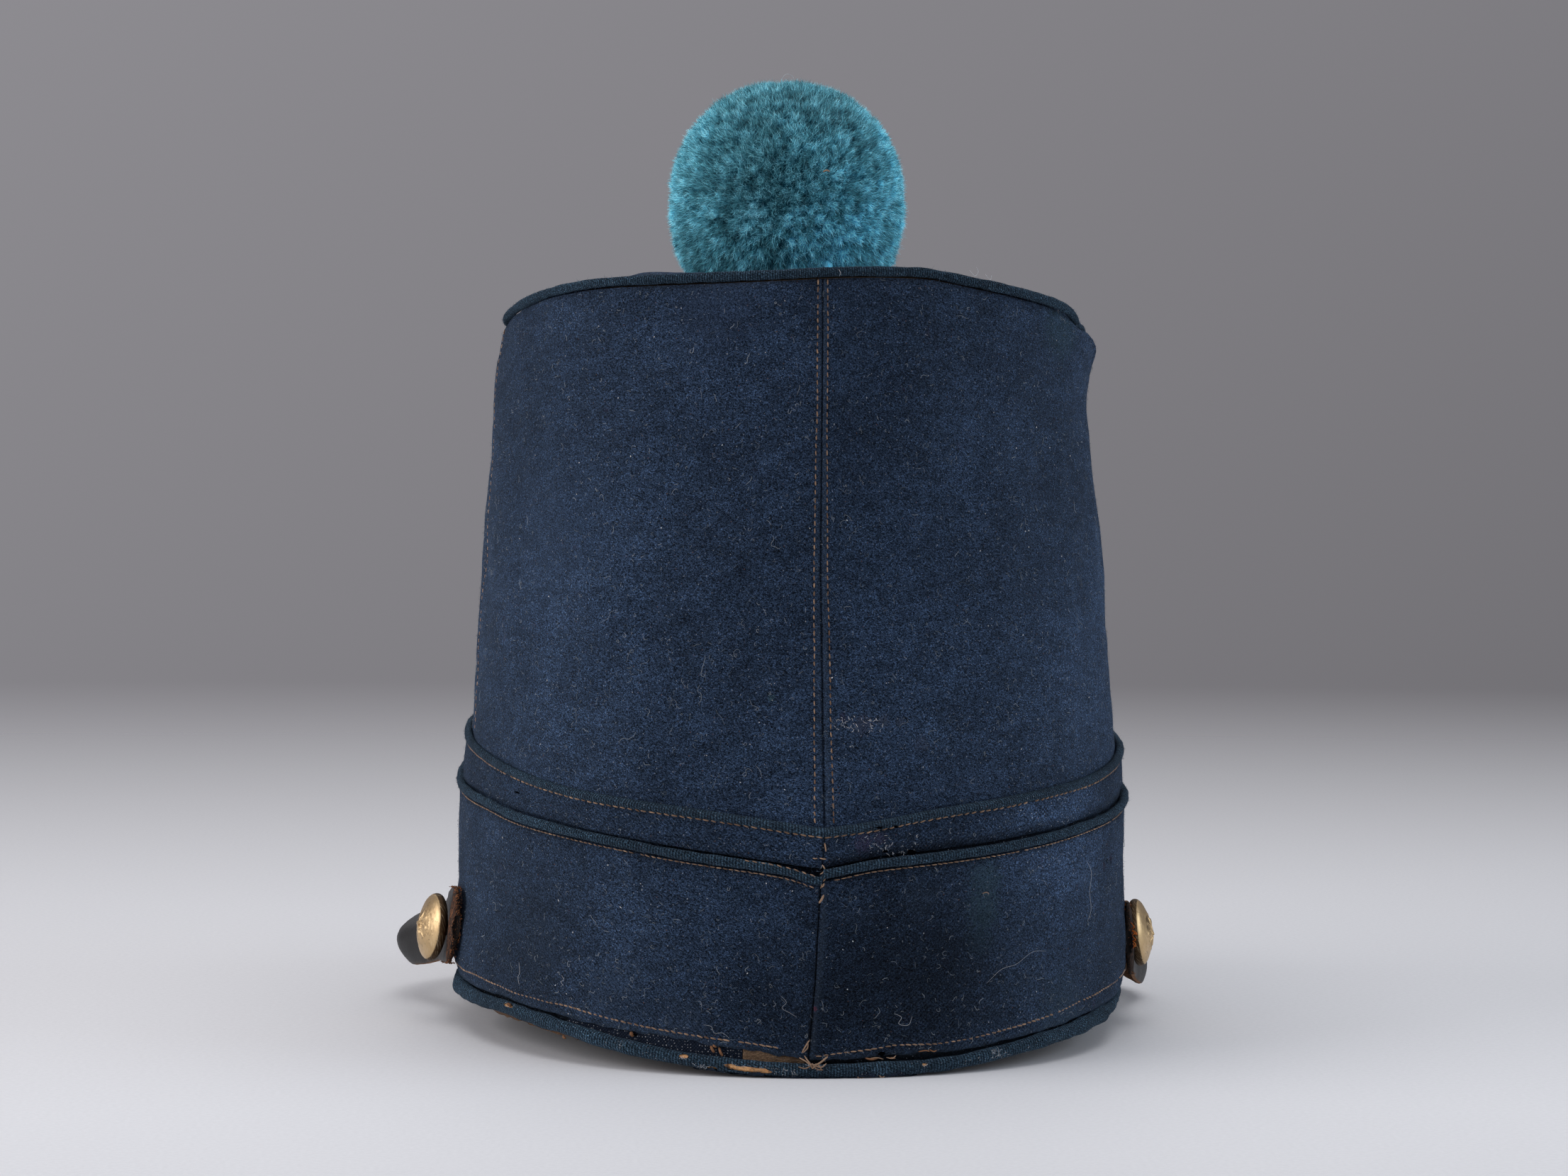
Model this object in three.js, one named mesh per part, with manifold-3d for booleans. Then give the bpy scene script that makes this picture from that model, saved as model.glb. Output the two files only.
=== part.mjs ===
// A mid-19th-century soldier's shako: a tall oval cap of dark blue cloth on a
// stiff shell, with a sloping top, two bands, a piped rim, a leather peak, a
// chin strap on two buttons and a round wool pompom above the front edge.
//
// Millimetres, +Z up, the peak towards -Y.  The cap is drawn in its own frame
// (z = 0 is the middle of the rim piping, z runs along the cap's axis) and then
// turned as it sits on a table, on the back of its rim and the edge of its peak.

import * as THREE from 'three';
import { mergeVertices } from 'three/addons/utils/BufferGeometryUtils.js';
import Module from 'manifold-3d';

const wasm = await Module();
wasm.setup();

// ---------------------------------------------------------------- dimensions
const REST_TILT = 4.5;          // degrees the front is raised by its peak
const STEPS = 60;               // sections round the cap, every 6 degrees
const GAP = 0.3;                // air between pieces that touch

const SHELL_THICK = 2.4;        // stiff shell with its cloth
const BAND_THICK = 1.3;         // cloth of the lower band
const BAND_OFF = GAP + BAND_THICK;
const WELT_R = 1.1;             // cord between the two bands
const WELT_OFF = 1.75;
const TOP_WELT_R = 1.15;        // cord round the top edge
const TOP_WELT_OFF = -0.5;
const PIPING_R = 1.65;          // cloth-covered cane of the rim
const PIPING_OFF = 1.75;
const LEATHER_OFF = -3.1;       // sweatband, outer face
const LEATHER_THICK = 1.4;
const LEATHER_TOP = 34;
const TOP_THICK = 1.6;          // cloth and stiffening of the top
const TOP_DOME = 2.6;

const TOP_PLANE = { z: 167.0, perY: 0.203, perX: 0.013 };  // slope of the top

const PEAK = {
  from: -152, to: -28,          // degrees round the rim
  halfWidth: 78, cornerY: -48, depth: 112,   // outline of its edge
  thick: 2.3, rootOff: -2.2, rootZ: -4.5, flat: 26,
};

const STRAP_THICK = 1.2;
const BUTTON_R = 8.25;
const SHANK_R = 1.8;
const STRAP_HOLE_R = 2.6;

const POMPOM = { x: -2.0, y: -76, z: 190.3, r: 31.3, rz: 32.9, power: 2.15 };
const STEM_R = 1.9;
const STEM_HOLE_R = 2.4;

// Outer face of the shell: half-widths to the left and right of the axis and
// the reach back and forward, at heights along the axis.  power 2 is an ellipse.
const SECTIONS = [
  { z: -6, left: 82.4, right: 82.2, back: 102.4, front: 102.2, power: 2.15 },
  { z: 0, left: 82.2, right: 82.0, back: 101.6, front: 101.8, power: 2.15 },
  { z: 20, left: 81.8, right: 82.0, back: 98.6, front: 100.6, power: 2.15 },
  { z: 46, left: 81.3, right: 81.4, back: 94.2, front: 98.6, power: 2.2 },
  { z: 60, left: 80.2, right: 80.2, back: 91.6, front: 97.4, power: 2.2 },
  { z: 82, left: 78.9, right: 78.3, back: 87.6, front: 95.4, power: 2.15 },
  { z: 109, left: 77.2, right: 75.8, back: 82.8, front: 93.0, power: 2.1 },
  { z: 131, left: 75.8, right: 73.0, back: 78.8, front: 91.0, power: 2.05 },
  { z: 145, left: 74.9, right: 71.2, back: 76.3, front: 89.6, power: 2.0 },
  { z: 153, left: 74.3, right: 72.0, back: 74.9, front: 88.8, power: 2.0 },
  { z: 160, left: 73.0, right: 73.0, back: 73.6, front: 88.0, power: 2.0 },
  { z: 190, left: 72.0, right: 72.4, back: 68.4, front: 85.6, power: 2.0 },
];

// Heights of the lines that run round the cap.  Angle 0 is the left side, 90
// the back seam, 180 the right side and -90 the front.
const LINES = [
  { angle: -150, rim: 0.2, welt: 48.8, band: 60.6, top: 157.0, leather: 0.6 },
  { angle: -120, rim: 0.0, welt: 49.0, band: 60.2, top: 151.4, leather: 0.6 },
  { angle: -90, rim: 0.0, welt: 49.0, band: 60.0, top: 149.4, leather: 0.6 },
  { angle: -60, rim: 0.0, welt: 49.2, band: 60.4, top: 152.2, leather: 0.6 },
  { angle: -30, rim: 0.0, welt: 49.5, band: 61.2, top: 158.6, leather: 0.4 },
  { angle: 0, rim: 0.4, welt: 49.6, band: 61.7, top: 164.4, leather: -2.2 },
  { angle: 12, rim: 1.5, welt: 50.3, band: 61.4, top: 168.3, leather: -1.9 },
  { angle: 24, rim: 3.0, welt: 50.8, band: 60.6, top: 172.2, leather: -1.0 },
  { angle: 34, rim: 4.3, welt: 50.1, band: 59.7, top: 175.0, leather: 0.2 },
  { angle: 46, rim: 4.0, welt: 49.6, band: 58.6, top: 177.4, leather: 0.3 },
  { angle: 58, rim: 2.5, welt: 48.7, band: 57.9, top: 178.7, leather: -0.6 },
  { angle: 70, rim: 1.1, welt: 47.2, band: 57.0, top: 179.7, leather: -1.2 },
  { angle: 80, rim: 0.15, welt: 45.8, band: 55.6, top: 180.5, leather: -1.7 },
  { angle: 90, rim: -0.45, welt: 43.6, band: 53.3, top: 181.3, leather: -2.0, kink: true },
  { angle: 98, rim: -0.4, welt: 46.1, band: 54.9, top: 181.6, leather: -2.0 },
  { angle: 108, rim: -0.2, welt: 47.1, band: 57.0, top: 181.4, leather: -1.9 },
  { angle: 120, rim: 0.9, welt: 47.9, band: 58.2, top: 179.0, leather: -1.4 },
  { angle: 132, rim: 1.7, welt: 48.6, band: 58.9, top: 176.2, leather: -0.8 },
  { angle: 145, rim: 1.8, welt: 49.1, band: 59.3, top: 172.7, leather: -0.6 },
  { angle: 160, rim: 1.1, welt: 49.0, band: 60.1, top: 166.9, leather: -1.2 },
  { angle: 180, rim: 0.4, welt: 48.8, band: 60.9, top: 162.4, leather: -1.2 },
];

// Chin strap: middle line from the left button forward round the front to the
// right one; off is its distance from the shell, height its width, lean how far
// its lower edge stands outwards, in degrees.
const STRAP = [
  { angle: 13.5, off: 3.6, z: 17.4, height: 17, bulge: 0, lean: 6 },
  { angle: 9, off: 3.6, z: 16.2, height: 18.6, bulge: 0, lean: 6 },
  { angle: 3, off: 3.7, z: 13.8, height: 18.5, bulge: 0, lean: 6.5 },
  { angle: -2.5, off: 4.6, z: 10.6, height: 17, bulge: 0, lean: 9 },
  { angle: -6, off: 7.4, z: 7.2, height: 15, bulge: 0.4, lean: 15 },
  { angle: -9, off: 11, z: 4.4, height: 13.5, bulge: 1, lean: 21 },
  { angle: -12.5, off: 14.6, z: 2.9, height: 12.8, bulge: 2, lean: 24 },
  { angle: -18, off: 16.4, z: 2.8, height: 12, bulge: 2.2, lean: 26 },
  { angle: -24, off: 16.2, z: 2, height: 12, bulge: 1.6, lean: 26 },
  { angle: -30, off: 14.2, z: 2, height: 12.6, bulge: 1, lean: 22 },
  { angle: -37, off: 11.2, z: 3.8, height: 13.5, bulge: 0.6, lean: 16 },
  { angle: -47, off: 8.4, z: 7.2, height: 14, bulge: 0.4, lean: 10 },
  { angle: -60, off: 5.8, z: 10, height: 15, bulge: 0.2, lean: 7 },
  { angle: -75, off: 4.6, z: 10.9, height: 15.5, bulge: 0.2, lean: 7 },
  { angle: -90, off: 4.4, z: 11, height: 15.5, bulge: 0.2, lean: 7 },
  { angle: -105, off: 4.6, z: 10.9, height: 15.5, bulge: 0.2, lean: 7 },
  { angle: -120, off: 5.6, z: 10, height: 15.5, bulge: 0.2, lean: 7 },
  { angle: -135, off: 8, z: 5.8, height: 14, bulge: 0.4, lean: 12 },
  { angle: -147, off: 10.6, z: 0.8, height: 13, bulge: 0.8, lean: 20 },
  { angle: -156, off: 12.2, z: -2.8, height: 12.5, bulge: 1.2, lean: 24 },
  { angle: -163, off: 12.8, z: -4, height: 12.5, bulge: 1.4, lean: 24 },
  { angle: -168.5, off: 11.4, z: -2.4, height: 13, bulge: 1.2, lean: 20 },
  { angle: -173, off: 8.4, z: 1.8, height: 15, bulge: 0.6, lean: 14 },
  { angle: -177.5, off: 5.4, z: 6.8, height: 17, bulge: 0, lean: 10 },
  { angle: -183, off: 3.9, z: 10.8, height: 18, bulge: 0, lean: 7 },
  { angle: -190, off: 3.25, z: 13, height: 18, bulge: 0, lean: 4 },
  { angle: -195, off: 3.05, z: 14, height: 16.5, bulge: 0, lean: 3 },
];

const BUTTONS = {
  button_left: { x: 88.3, y: 11, z: 13.8, up: 10, back: 17, side: 1, shank: 4.4 },
  button_right: { x: -86.3, y: 16, z: 13.4, up: 8.5, back: 14, side: -1, shank: 2.6 },
};

const COLOURS = {
  cloth: [0x26344a, 0.92, 0.0],
  cloth_light: [0x2b3c55, 0.92, 0.0],
  leather_black: [0x17171a, 0.38, 0.0],
  leather_brown: [0x6b4a2e, 0.8, 0.0],
  brass: [0xb08a4a, 0.36, 1.0],
  wool: [0x3f87a0, 1.0, 0.0],
  wire: [0x55504a, 0.5, 0.8],
};

// ------------------------------------------------------------------- helpers
const rad = (d) => (d * Math.PI) / 180;
const mod = (a, n) => ((a % n) + n) % n;

// smooth curve through the rows of a table; a row marked kink keeps its corner
function hermite(rows, key, axis, at) {
  let i = 0;
  while (i < rows.length - 2 && at > rows[i + 1][axis]) i += 1;
  const p = rows[i];
  const q = rows[i + 1];
  const span = q[axis] - p[axis];
  const chord = (q[key] - p[key]) / span;
  const slope = (k) => {
    const r = rows[k];
    if (k <= 0 || k >= rows.length - 1 || r.kink) return chord;
    const a = (r[key] - rows[k - 1][key]) / (r[axis] - rows[k - 1][axis]);
    const b = (rows[k + 1][key] - r[key]) / (rows[k + 1][axis] - r[axis]);
    return a * b <= 0 ? 0 : (2 * a * b) / (a + b);
  };
  const t = Math.min(1, Math.max(0, (at - p[axis]) / span));
  const m0 = slope(i) * span;
  const m1 = slope(i + 1) * span;
  return p[key] * (1 + 2 * t) * (1 - t) ** 2 + m0 * t * (1 - t) ** 2
    + q[key] * t * t * (3 - 2 * t) - m1 * t * t * (1 - t);
}

const LINES_ROUND = [
  ...LINES.slice(-3).map((r) => ({ ...r, angle: r.angle - 360 })),
  ...LINES,
  ...LINES.slice(0, 3).map((r) => ({ ...r, angle: r.angle + 360 })),
];
const line = (key, angle) => hermite(LINES_ROUND, key, 'angle', mod(angle + 180, 360) - 180);
const section = (key, z) => hermite(SECTIONS, key, 'z', z);

// point of the cap at an angle and height, off millimetres outside the shell
function onShell(angle, z, off) {
  const c = Math.cos(rad(angle));
  const s = Math.sin(rad(angle));
  const e = 2 / section('power', z);
  const a = (c > 0 ? section('left', z) : section('right', z)) + off;
  const b = (s > 0 ? section('back', z) : section('front', z)) + off;
  return new THREE.Vector3(
    a * Math.sign(c) * Math.abs(c) ** e,
    b * Math.sign(s) * Math.abs(s) ** e,
    z,
  );
}

// one closed mesh with merged vertices and its faces outwards
function closed(geometry) {
  geometry.deleteAttribute('normal');
  geometry.deleteAttribute('uv');
  const g = mergeVertices(geometry, 1e-3);
  const keep = [];
  const ix = g.index.array;
  for (let i = 0; i < ix.length; i += 3) {
    const [a, b, c] = [ix[i], ix[i + 1], ix[i + 2]];
    if (a !== b && b !== c && c !== a) keep.push(a, b, c);
  }
  g.setIndex(keep);
  return g;
}

function outward(g) {
  const p = g.attributes.position;
  const ix = g.index.array;
  const [a, b, c] = [new THREE.Vector3(), new THREE.Vector3(), new THREE.Vector3()];
  let volume = 0;
  for (let i = 0; i < ix.length; i += 3) {
    a.fromBufferAttribute(p, ix[i]);
    b.fromBufferAttribute(p, ix[i + 1]);
    c.fromBufferAttribute(p, ix[i + 2]);
    volume += a.dot(b.cross(c));
  }
  if (volume < 0) {
    for (let i = 0; i < ix.length; i += 3) {
      const t = ix[i];
      ix[i] = ix[i + 1];
      ix[i + 1] = t;
    }
  }
  g.computeVertexNormals();
  return g;
}

// A profile of [row, off] pairs swept round the cap.  The lathe makes the ring
// and place(angle, row, off) puts each of its points where the cap has it.
const BASE = 1000;
function ring(profile, place) {
  const pts = profile.map(([row, off]) => new THREE.Vector2(BASE + off, row));
  pts.push(pts[0].clone());
  const g = closed(new THREE.LatheGeometry(pts, STEPS));
  return warpRing(g, place);
}

function warpRing(g, place) {
  const p = g.attributes.position;
  for (let i = 0; i < p.count; i += 1) {
    const x = p.getX(i);
    const z = p.getZ(i);
    const r = Math.hypot(x, z);
    const angle = Math.round((Math.atan2(x, z) * 180) / Math.PI * 10) / 10;
    const v = place(angle, p.getY(i), r - BASE);
    p.setXYZ(i, v.x, v.y, v.z);
  }
  return outward(g);
}

function circleProfile(radius, sides, middleOff, turn = 0) {
  return Array.from({ length: sides }, (_, i) => {
    const a = ((i + turn) / sides) * 2 * Math.PI;
    return [radius * Math.sin(a), middleOff + radius * Math.cos(a)];
  });
}

function solid(geometry) {
  return new wasm.Manifold(new wasm.Mesh({
    numProp: 3,
    vertProperties: new Float32Array(geometry.attributes.position.array),
    triVerts: new Uint32Array(geometry.index.array),
  }));
}

function fromSolid(body) {
  const m = body.getMesh();
  const g = new THREE.BufferGeometry();
  g.setAttribute('position', new THREE.BufferAttribute(new Float32Array(m.vertProperties), 3));
  g.setIndex(Array.from(m.triVerts));
  g.computeVertexNormals();
  return g;
}

const cap = new THREE.Group();
function add(name, geometry, look) {
  const [color, roughness, metalness] = COLOURS[look];
  const mesh = new THREE.Mesh(
    geometry,
    new THREE.MeshStandardMaterial({ color, roughness, metalness }),
  );
  mesh.name = name;
  cap.add(mesh);
  return mesh;
}

// --------------------------------------------------------------------- shell
const SHELL_ROWS = [0, 0.03, 0.17, 0.33, 0.48, 0.62, 0.74, 0.83, 0.89, 0.94, 1];
const shellProfile = [
  ...SHELL_ROWS.map((v) => [v, v === 0 ? -0.25 : v === 1 ? -0.35 : 0]),
  ...[1, 0.89, 0.74, 0.48, 0.17, 0].map((v) => [v, -SHELL_THICK - (v === 0 ? 0.1 : 0)]),
];
const shellBottom = (a) => line('rim', a) + 0.3;
const shellTop = (a) => line('top', a) - 2.0 * TOP_WELT_R - 0.35;
add('crown', ring(shellProfile, (a, v, off) => {
  const z = shellBottom(a) + v * (shellTop(a) - shellBottom(a));
  return onShell(a, z, off);
}), 'cloth');

// ----------------------------------------------------------------- crown top
const planeAt = (x, y) => TOP_PLANE.z + TOP_PLANE.perY * y + TOP_PLANE.perX * x;
const TOP_EDGE = -TOP_WELT_R - TOP_WELT_R - 0.5;      // clear of the welt
const EDGE_DROP = 2.0 * TOP_WELT_R + 0.02;            // its underside below the top line
const topRows = [
  [0, 1], [0.45, 1], [0.75, 1], [0.92, 1], [1, 1],
  [1, 0], [0.86, 0], [0.5, 0], [0, 0],
];
function topPoint(angle, rho, upper) {
  const zEdge = line('top', angle);
  const rim = onShell(angle, zEdge, TOP_EDGE);
  const x = rim.x * rho;
  const y = rim.y * rho;
  const flat = planeAt(x, y);
  const warp = (zEdge - planeAt(rim.x, rim.y)) * Math.max(0, (rho - 0.5) / 0.5) ** 2;
  const puff = 1.6 * Math.exp(-(((angle - 56) / 16) ** 2)) * Math.exp(-(((rho - 0.88) / 0.1) ** 2));
  if (upper) {
    const dome = TOP_DOME * (1 - rho ** 2.4) + puff;
    return new THREE.Vector3(x, y, flat + warp - EDGE_DROP + TOP_THICK + dome);
  }
  return new THREE.Vector3(x, y, flat + warp - EDGE_DROP);
}
const topLathe = new THREE.LatheGeometry(
  topRows.map(([rho, up]) => new THREE.Vector2(rho * 100, up * 10)),
  STEPS,
);
const topGeometry = closed(topLathe);
{
  const p = topGeometry.attributes.position;
  for (let i = 0; i < p.count; i += 1) {
    const x = p.getX(i);
    const z = p.getZ(i);
    const angle = Math.round((Math.atan2(x, z) * 180) / Math.PI * 10) / 10;
    const v = topPoint(angle, Math.hypot(x, z) / 100, p.getY(i) > 5);
    p.setXYZ(i, v.x, v.y, v.z);
  }
  outward(topGeometry);
}
const stemFoot = planeAt(POMPOM.x, POMPOM.y) - EDGE_DROP;
const stemHole = new THREE.CylinderGeometry(STEM_HOLE_R, STEM_HOLE_R, 30, 16);
stemHole.rotateX(Math.PI / 2);
stemHole.translate(POMPOM.x, POMPOM.y, stemFoot);
add('crown_top', fromSolid(solid(topGeometry).subtract(solid(outward(closed(stemHole))))), 'cloth');

// --------------------------------------------------------------------- welts
add('top_welt', ring(
  circleProfile(TOP_WELT_R, 6, TOP_WELT_OFF, 0.5),
  (a, dz, off) => {
    const z = line('top', a) - TOP_WELT_R;
    const v = onShell(a, z, off);
    v.z = z + dz;
    return v;
  },
), 'cloth_light');

add('band_welt', ring(
  circleProfile(WELT_R, 6, WELT_OFF, 0.5),
  (a, dz, off) => {
    const z = line('welt', a);
    const v = onShell(a, z, off);
    v.z = z + dz;
    return v;
  },
), 'cloth_light');

add('rim_piping', ring(
  circleProfile(PIPING_R, 8, PIPING_OFF, 0.5),
  (a, dz, off) => {
    const z = line('rim', a);
    const v = onShell(a, z, off);
    v.z = z + dz;
    return v;
  },
), 'cloth_light');

// --------------------------------------------------------------------- bands
// rows: how far up from the lower edge (0) to the upper edge (1)
add('lower_band', ring(
  [
    [0, GAP], [0, BAND_OFF - 0.1], [0.07, BAND_OFF], [0.5, BAND_OFF], [1, BAND_OFF - 0.1],
    [1, GAP], [0.5, GAP],
  ],
  (a, v, off) => {
    const low = line('rim', a) + PIPING_R + 0.45;
    const high = line('welt', a) - WELT_R - 0.35;
    return onShell(a, low + v * (high - low), off);
  },
), 'cloth');

add('upper_band', ring(
  [
    [0, GAP], [0, 1.4], [0.62, 1.45], [0.75, 2.0], [0.94, 2.0], [1, 1.2], [1, GAP],
  ],
  (a, v, off) => {
    const low = line('welt', a) + WELT_R + 0.35;
    const high = line('band', a);
    return onShell(a, low + v * (high - low), off);
  },
), 'cloth');

// ----------------------------------------------------------------- sweatband
add('sweatband', ring(
  [
    [0, LEATHER_OFF], [0, LEATHER_OFF - LEATHER_THICK],
    [0.5, LEATHER_OFF - LEATHER_THICK], [1, LEATHER_OFF - LEATHER_THICK],
    [1, LEATHER_OFF], [0.5, LEATHER_OFF],
  ],
  (a, v, off) => {
    const low = line('leather', a);
    return onShell(a, low + v * (LEATHER_TOP - low), off);
  },
), 'leather_brown');

// ---------------------------------------------------------------------- peak
// the floor under the tilted cap, as a height in the cap's own frame
const tilt = rad(REST_TILT);
const down = (v) => -v.y * Math.sin(tilt) + v.z * Math.cos(tilt);
function lowest(mesh) {
  const p = mesh.geometry.attributes.position;
  const v = new THREE.Vector3();
  let low = Infinity;
  for (let i = 0; i < p.count; i += 1) low = Math.min(low, down(v.fromBufferAttribute(p, i)));
  return low;
}
const floor = lowest(cap.children.find((m) => m.name === 'rim_piping'));
const floorAt = (y) => (floor + y * Math.sin(tilt)) / Math.cos(tilt);

const PEAK_ALONG = 26;
const PEAK_OUT = 4;
function peakPoint(u, v, upper) {
  // u runs from the left corner to the right one, v from the rim to the edge
  const phi = (u - 0.5) * 180;
  const angle = PEAK.to + u * (PEAK.from - PEAK.to);
  const root = onShell(angle, 0, PEAK.rootOff);
  root.z = PEAK.rootZ;
  const ex = -PEAK.halfWidth * Math.sin(rad(phi));
  const ey = PEAK.cornerY - 1.5 - PEAK.depth * Math.cos(rad(phi));
  const rise = Math.max(0, (Math.abs(phi) - PEAK.flat) / (90 - PEAK.flat)) ** 1.6;
  const ez = floorAt(ey) + rise * (PEAK.rootZ - floorAt(ey));
  const x = root.x + (ex - root.x) * v;
  const y = root.y + (ey - root.y) * v;
  const arch = 1.6 * Math.sin(Math.PI * v) * Math.cos(rad(phi));
  const z = root.z + (ez - root.z) * v + arch;
  return new THREE.Vector3(x, y, z + (upper ? PEAK.thick : 0));
}
const peakBox = new THREE.BoxGeometry(1, 1, 1, PEAK_ALONG, PEAK_OUT, 1);
const peakGeometry = closed(peakBox);
{
  const p = peakGeometry.attributes.position;
  for (let i = 0; i < p.count; i += 1) {
    const v = peakPoint(p.getX(i) + 0.5, p.getY(i) + 0.5, p.getZ(i) > 0);
    p.setXYZ(i, v.x, v.y, v.z);
  }
  outward(peakGeometry);
}
add('peak', peakGeometry, 'leather_black');

// ------------------------------------------------------------------- buttons
function buttonFrame({ x, y, z, up, back, side }) {
  const out = new THREE.Vector3(
    side * Math.cos(rad(up)) * Math.cos(rad(back)),
    Math.cos(rad(up)) * Math.sin(rad(back)),
    Math.sin(rad(up)),
  );
  const turn = new THREE.Quaternion().setFromUnitVectors(new THREE.Vector3(0, 1, 0), out);
  return { at: new THREE.Vector3(x, y, z), turn, out };
}
const buttonProfile = (shank) => [
  [0, -shank], [SHANK_R, -shank], [SHANK_R, 0], [BUTTON_R - 0.7, 0],
  [BUTTON_R, 0.6], [BUTTON_R - 0.15, 1.5], [BUTTON_R - 1.5, 2.8], [BUTTON_R - 3.8, 4.0],
  [BUTTON_R - 6.3, 4.6], [0, 4.9],
].map(([r, h]) => new THREE.Vector2(r, h));
for (const [name, spec] of Object.entries(BUTTONS)) {
  const g = outward(closed(new THREE.LatheGeometry(buttonProfile(spec.shank), 20)));
  const mesh = add(name, g, 'brass');
  const { at, turn } = buttonFrame(spec);
  mesh.position.copy(at);
  mesh.quaternion.copy(turn);
}

// ---------------------------------------------------------------- chin strap
const strapRows = STRAP.map((r) => ({ ...r, along: -r.angle }));
const strapAt = (key, along) => hermite(strapRows, key, 'along', along);
const strapFrom = strapRows[0].along;
const strapTo = strapRows[strapRows.length - 1].along;
const strapMiddle = (along) => {
  const v = onShell(-along, 0, strapAt('off', along));
  v.z = strapAt('z', along);
  return v;
};
// equal steps along the strap
const strapTrack = Array.from({ length: 721 }, (_, i) => {
  const along = strapFrom + ((strapTo - strapFrom) * i) / 720;
  return { along, at: strapMiddle(along), run: 0 };
});
for (let i = 1; i < strapTrack.length; i += 1) {
  strapTrack[i].run = strapTrack[i - 1].run + strapTrack[i].at.distanceTo(strapTrack[i - 1].at);
}
const strapLength = strapTrack[strapTrack.length - 1].run;
function strapPoint(u, across, outer) {
  const want = u * strapLength;
  let k = 1;
  while (k < strapTrack.length - 1 && strapTrack[k].run < want) k += 1;
  const a = strapTrack[k - 1];
  const b = strapTrack[k];
  const along = a.along + (b.along - a.along) * ((want - a.run) / (b.run - a.run));
  const at = strapMiddle(along);
  const ahead = strapMiddle(Math.min(strapTo, along + 0.25));
  const behind = strapMiddle(Math.max(strapFrom, along - 0.25));
  const t = ahead.sub(behind).setZ(0).normalize();
  const n = new THREE.Vector3(-t.y, t.x, 0);
  if (n.dot(at) < 0) n.negate();
  const lean = rad(strapAt('lean', along));
  const w = new THREE.Vector3(0, 0, Math.cos(lean)).addScaledVector(n, -Math.sin(lean));
  const face = n.clone().multiplyScalar(Math.cos(lean)).setZ(Math.sin(lean));
  const half = strapAt('height', along) / 2;
  const bow = strapAt('bulge', along) * (1 - across * across);
  return at.addScaledVector(w, across * half)
    .addScaledVector(face, bow + (outer ? 0.5 : -0.5) * STRAP_THICK);
}
const strapGeometry = closed(new THREE.BoxGeometry(1, 1, 1, 64, 2, 1));
{
  const p = strapGeometry.attributes.position;
  for (let i = 0; i < p.count; i += 1) {
    const v = strapPoint(p.getX(i) + 0.5, p.getY(i) * 2, p.getZ(i) > 0);
    p.setXYZ(i, v.x, v.y, v.z);
  }
  outward(strapGeometry);
}
let strapSolid = solid(strapGeometry);
for (const spec of Object.values(BUTTONS)) {
  const { at, turn, out } = buttonFrame(spec);
  const hole = new THREE.CylinderGeometry(STRAP_HOLE_R, STRAP_HOLE_R, 12, 12);
  hole.applyQuaternion(turn);
  const centre = at.clone().addScaledVector(out, -2);
  hole.translate(centre.x, centre.y, centre.z);
  strapSolid = strapSolid.subtract(solid(outward(closed(hole))));
}
add('chin_strap', fromSolid(strapSolid), 'leather_black');

// ------------------------------------------------------------ pompom and stem
const pompom = closed(new THREE.SphereGeometry(1, 28, 18));
{
  const p = pompom.attributes.position;
  for (let i = 0; i < p.count; i += 1) {
    const v = new THREE.Vector3().fromBufferAttribute(p, i);
    const level = Math.abs(v.y);
    const wide = level >= 1 ? 0 : (1 - level ** POMPOM.power) ** (1 / POMPOM.power);
    const h = Math.hypot(v.x, v.z);
    const k = h > 1e-6 ? wide / h : 0;
    p.setXYZ(
      i,
      POMPOM.x + POMPOM.r * v.x * k,
      POMPOM.y - POMPOM.r * v.z * k,
      POMPOM.z + POMPOM.rz * v.y,
    );
  }
  outward(pompom);
}
add('pompom', pompom, 'wool');

const stemTop = POMPOM.z - POMPOM.rz - 0.35;
const stemProfile = [
  [0, -4.2], [6, -4.2], [6, -2.9], [STEM_R, -2.9], [STEM_R, stemTop - stemFoot],
  [0, stemTop - stemFoot],
].map(([r, h]) => new THREE.Vector2(r, h));
const stem = outward(closed(new THREE.LatheGeometry(stemProfile, 14)));
const stemMesh = add('pompom_stem', stem, 'wire');
stemMesh.rotation.x = Math.PI / 2;
stemMesh.position.set(POMPOM.x, POMPOM.y, stemFoot);

// ------------------------------------------------------- as it sits on a table
cap.rotation.x = -tilt;
cap.updateMatrixWorld(true);
const bounds = new THREE.Box3().setFromObject(cap, true);
cap.position.set(
  -(bounds.min.x + bounds.max.x) / 2,
  -(bounds.min.y + bounds.max.y) / 2,
  -bounds.min.z,
);

const shako = new THREE.Group();
shako.add(cap);
export default shako;
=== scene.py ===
"""Looks of a soldier's shako: blue cloth, welts, piped rim, leather strap and peak,
brass buttons and a wool pompom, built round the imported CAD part.

Lengths are in millimetres in the cap's own frame until world() turns them into
metres as the cap stands: x to the left side, y to the back, z up its axis.
"""

import math

import bpy
import numpy as np
from mathutils import Matrix, Vector, kdtree

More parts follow.
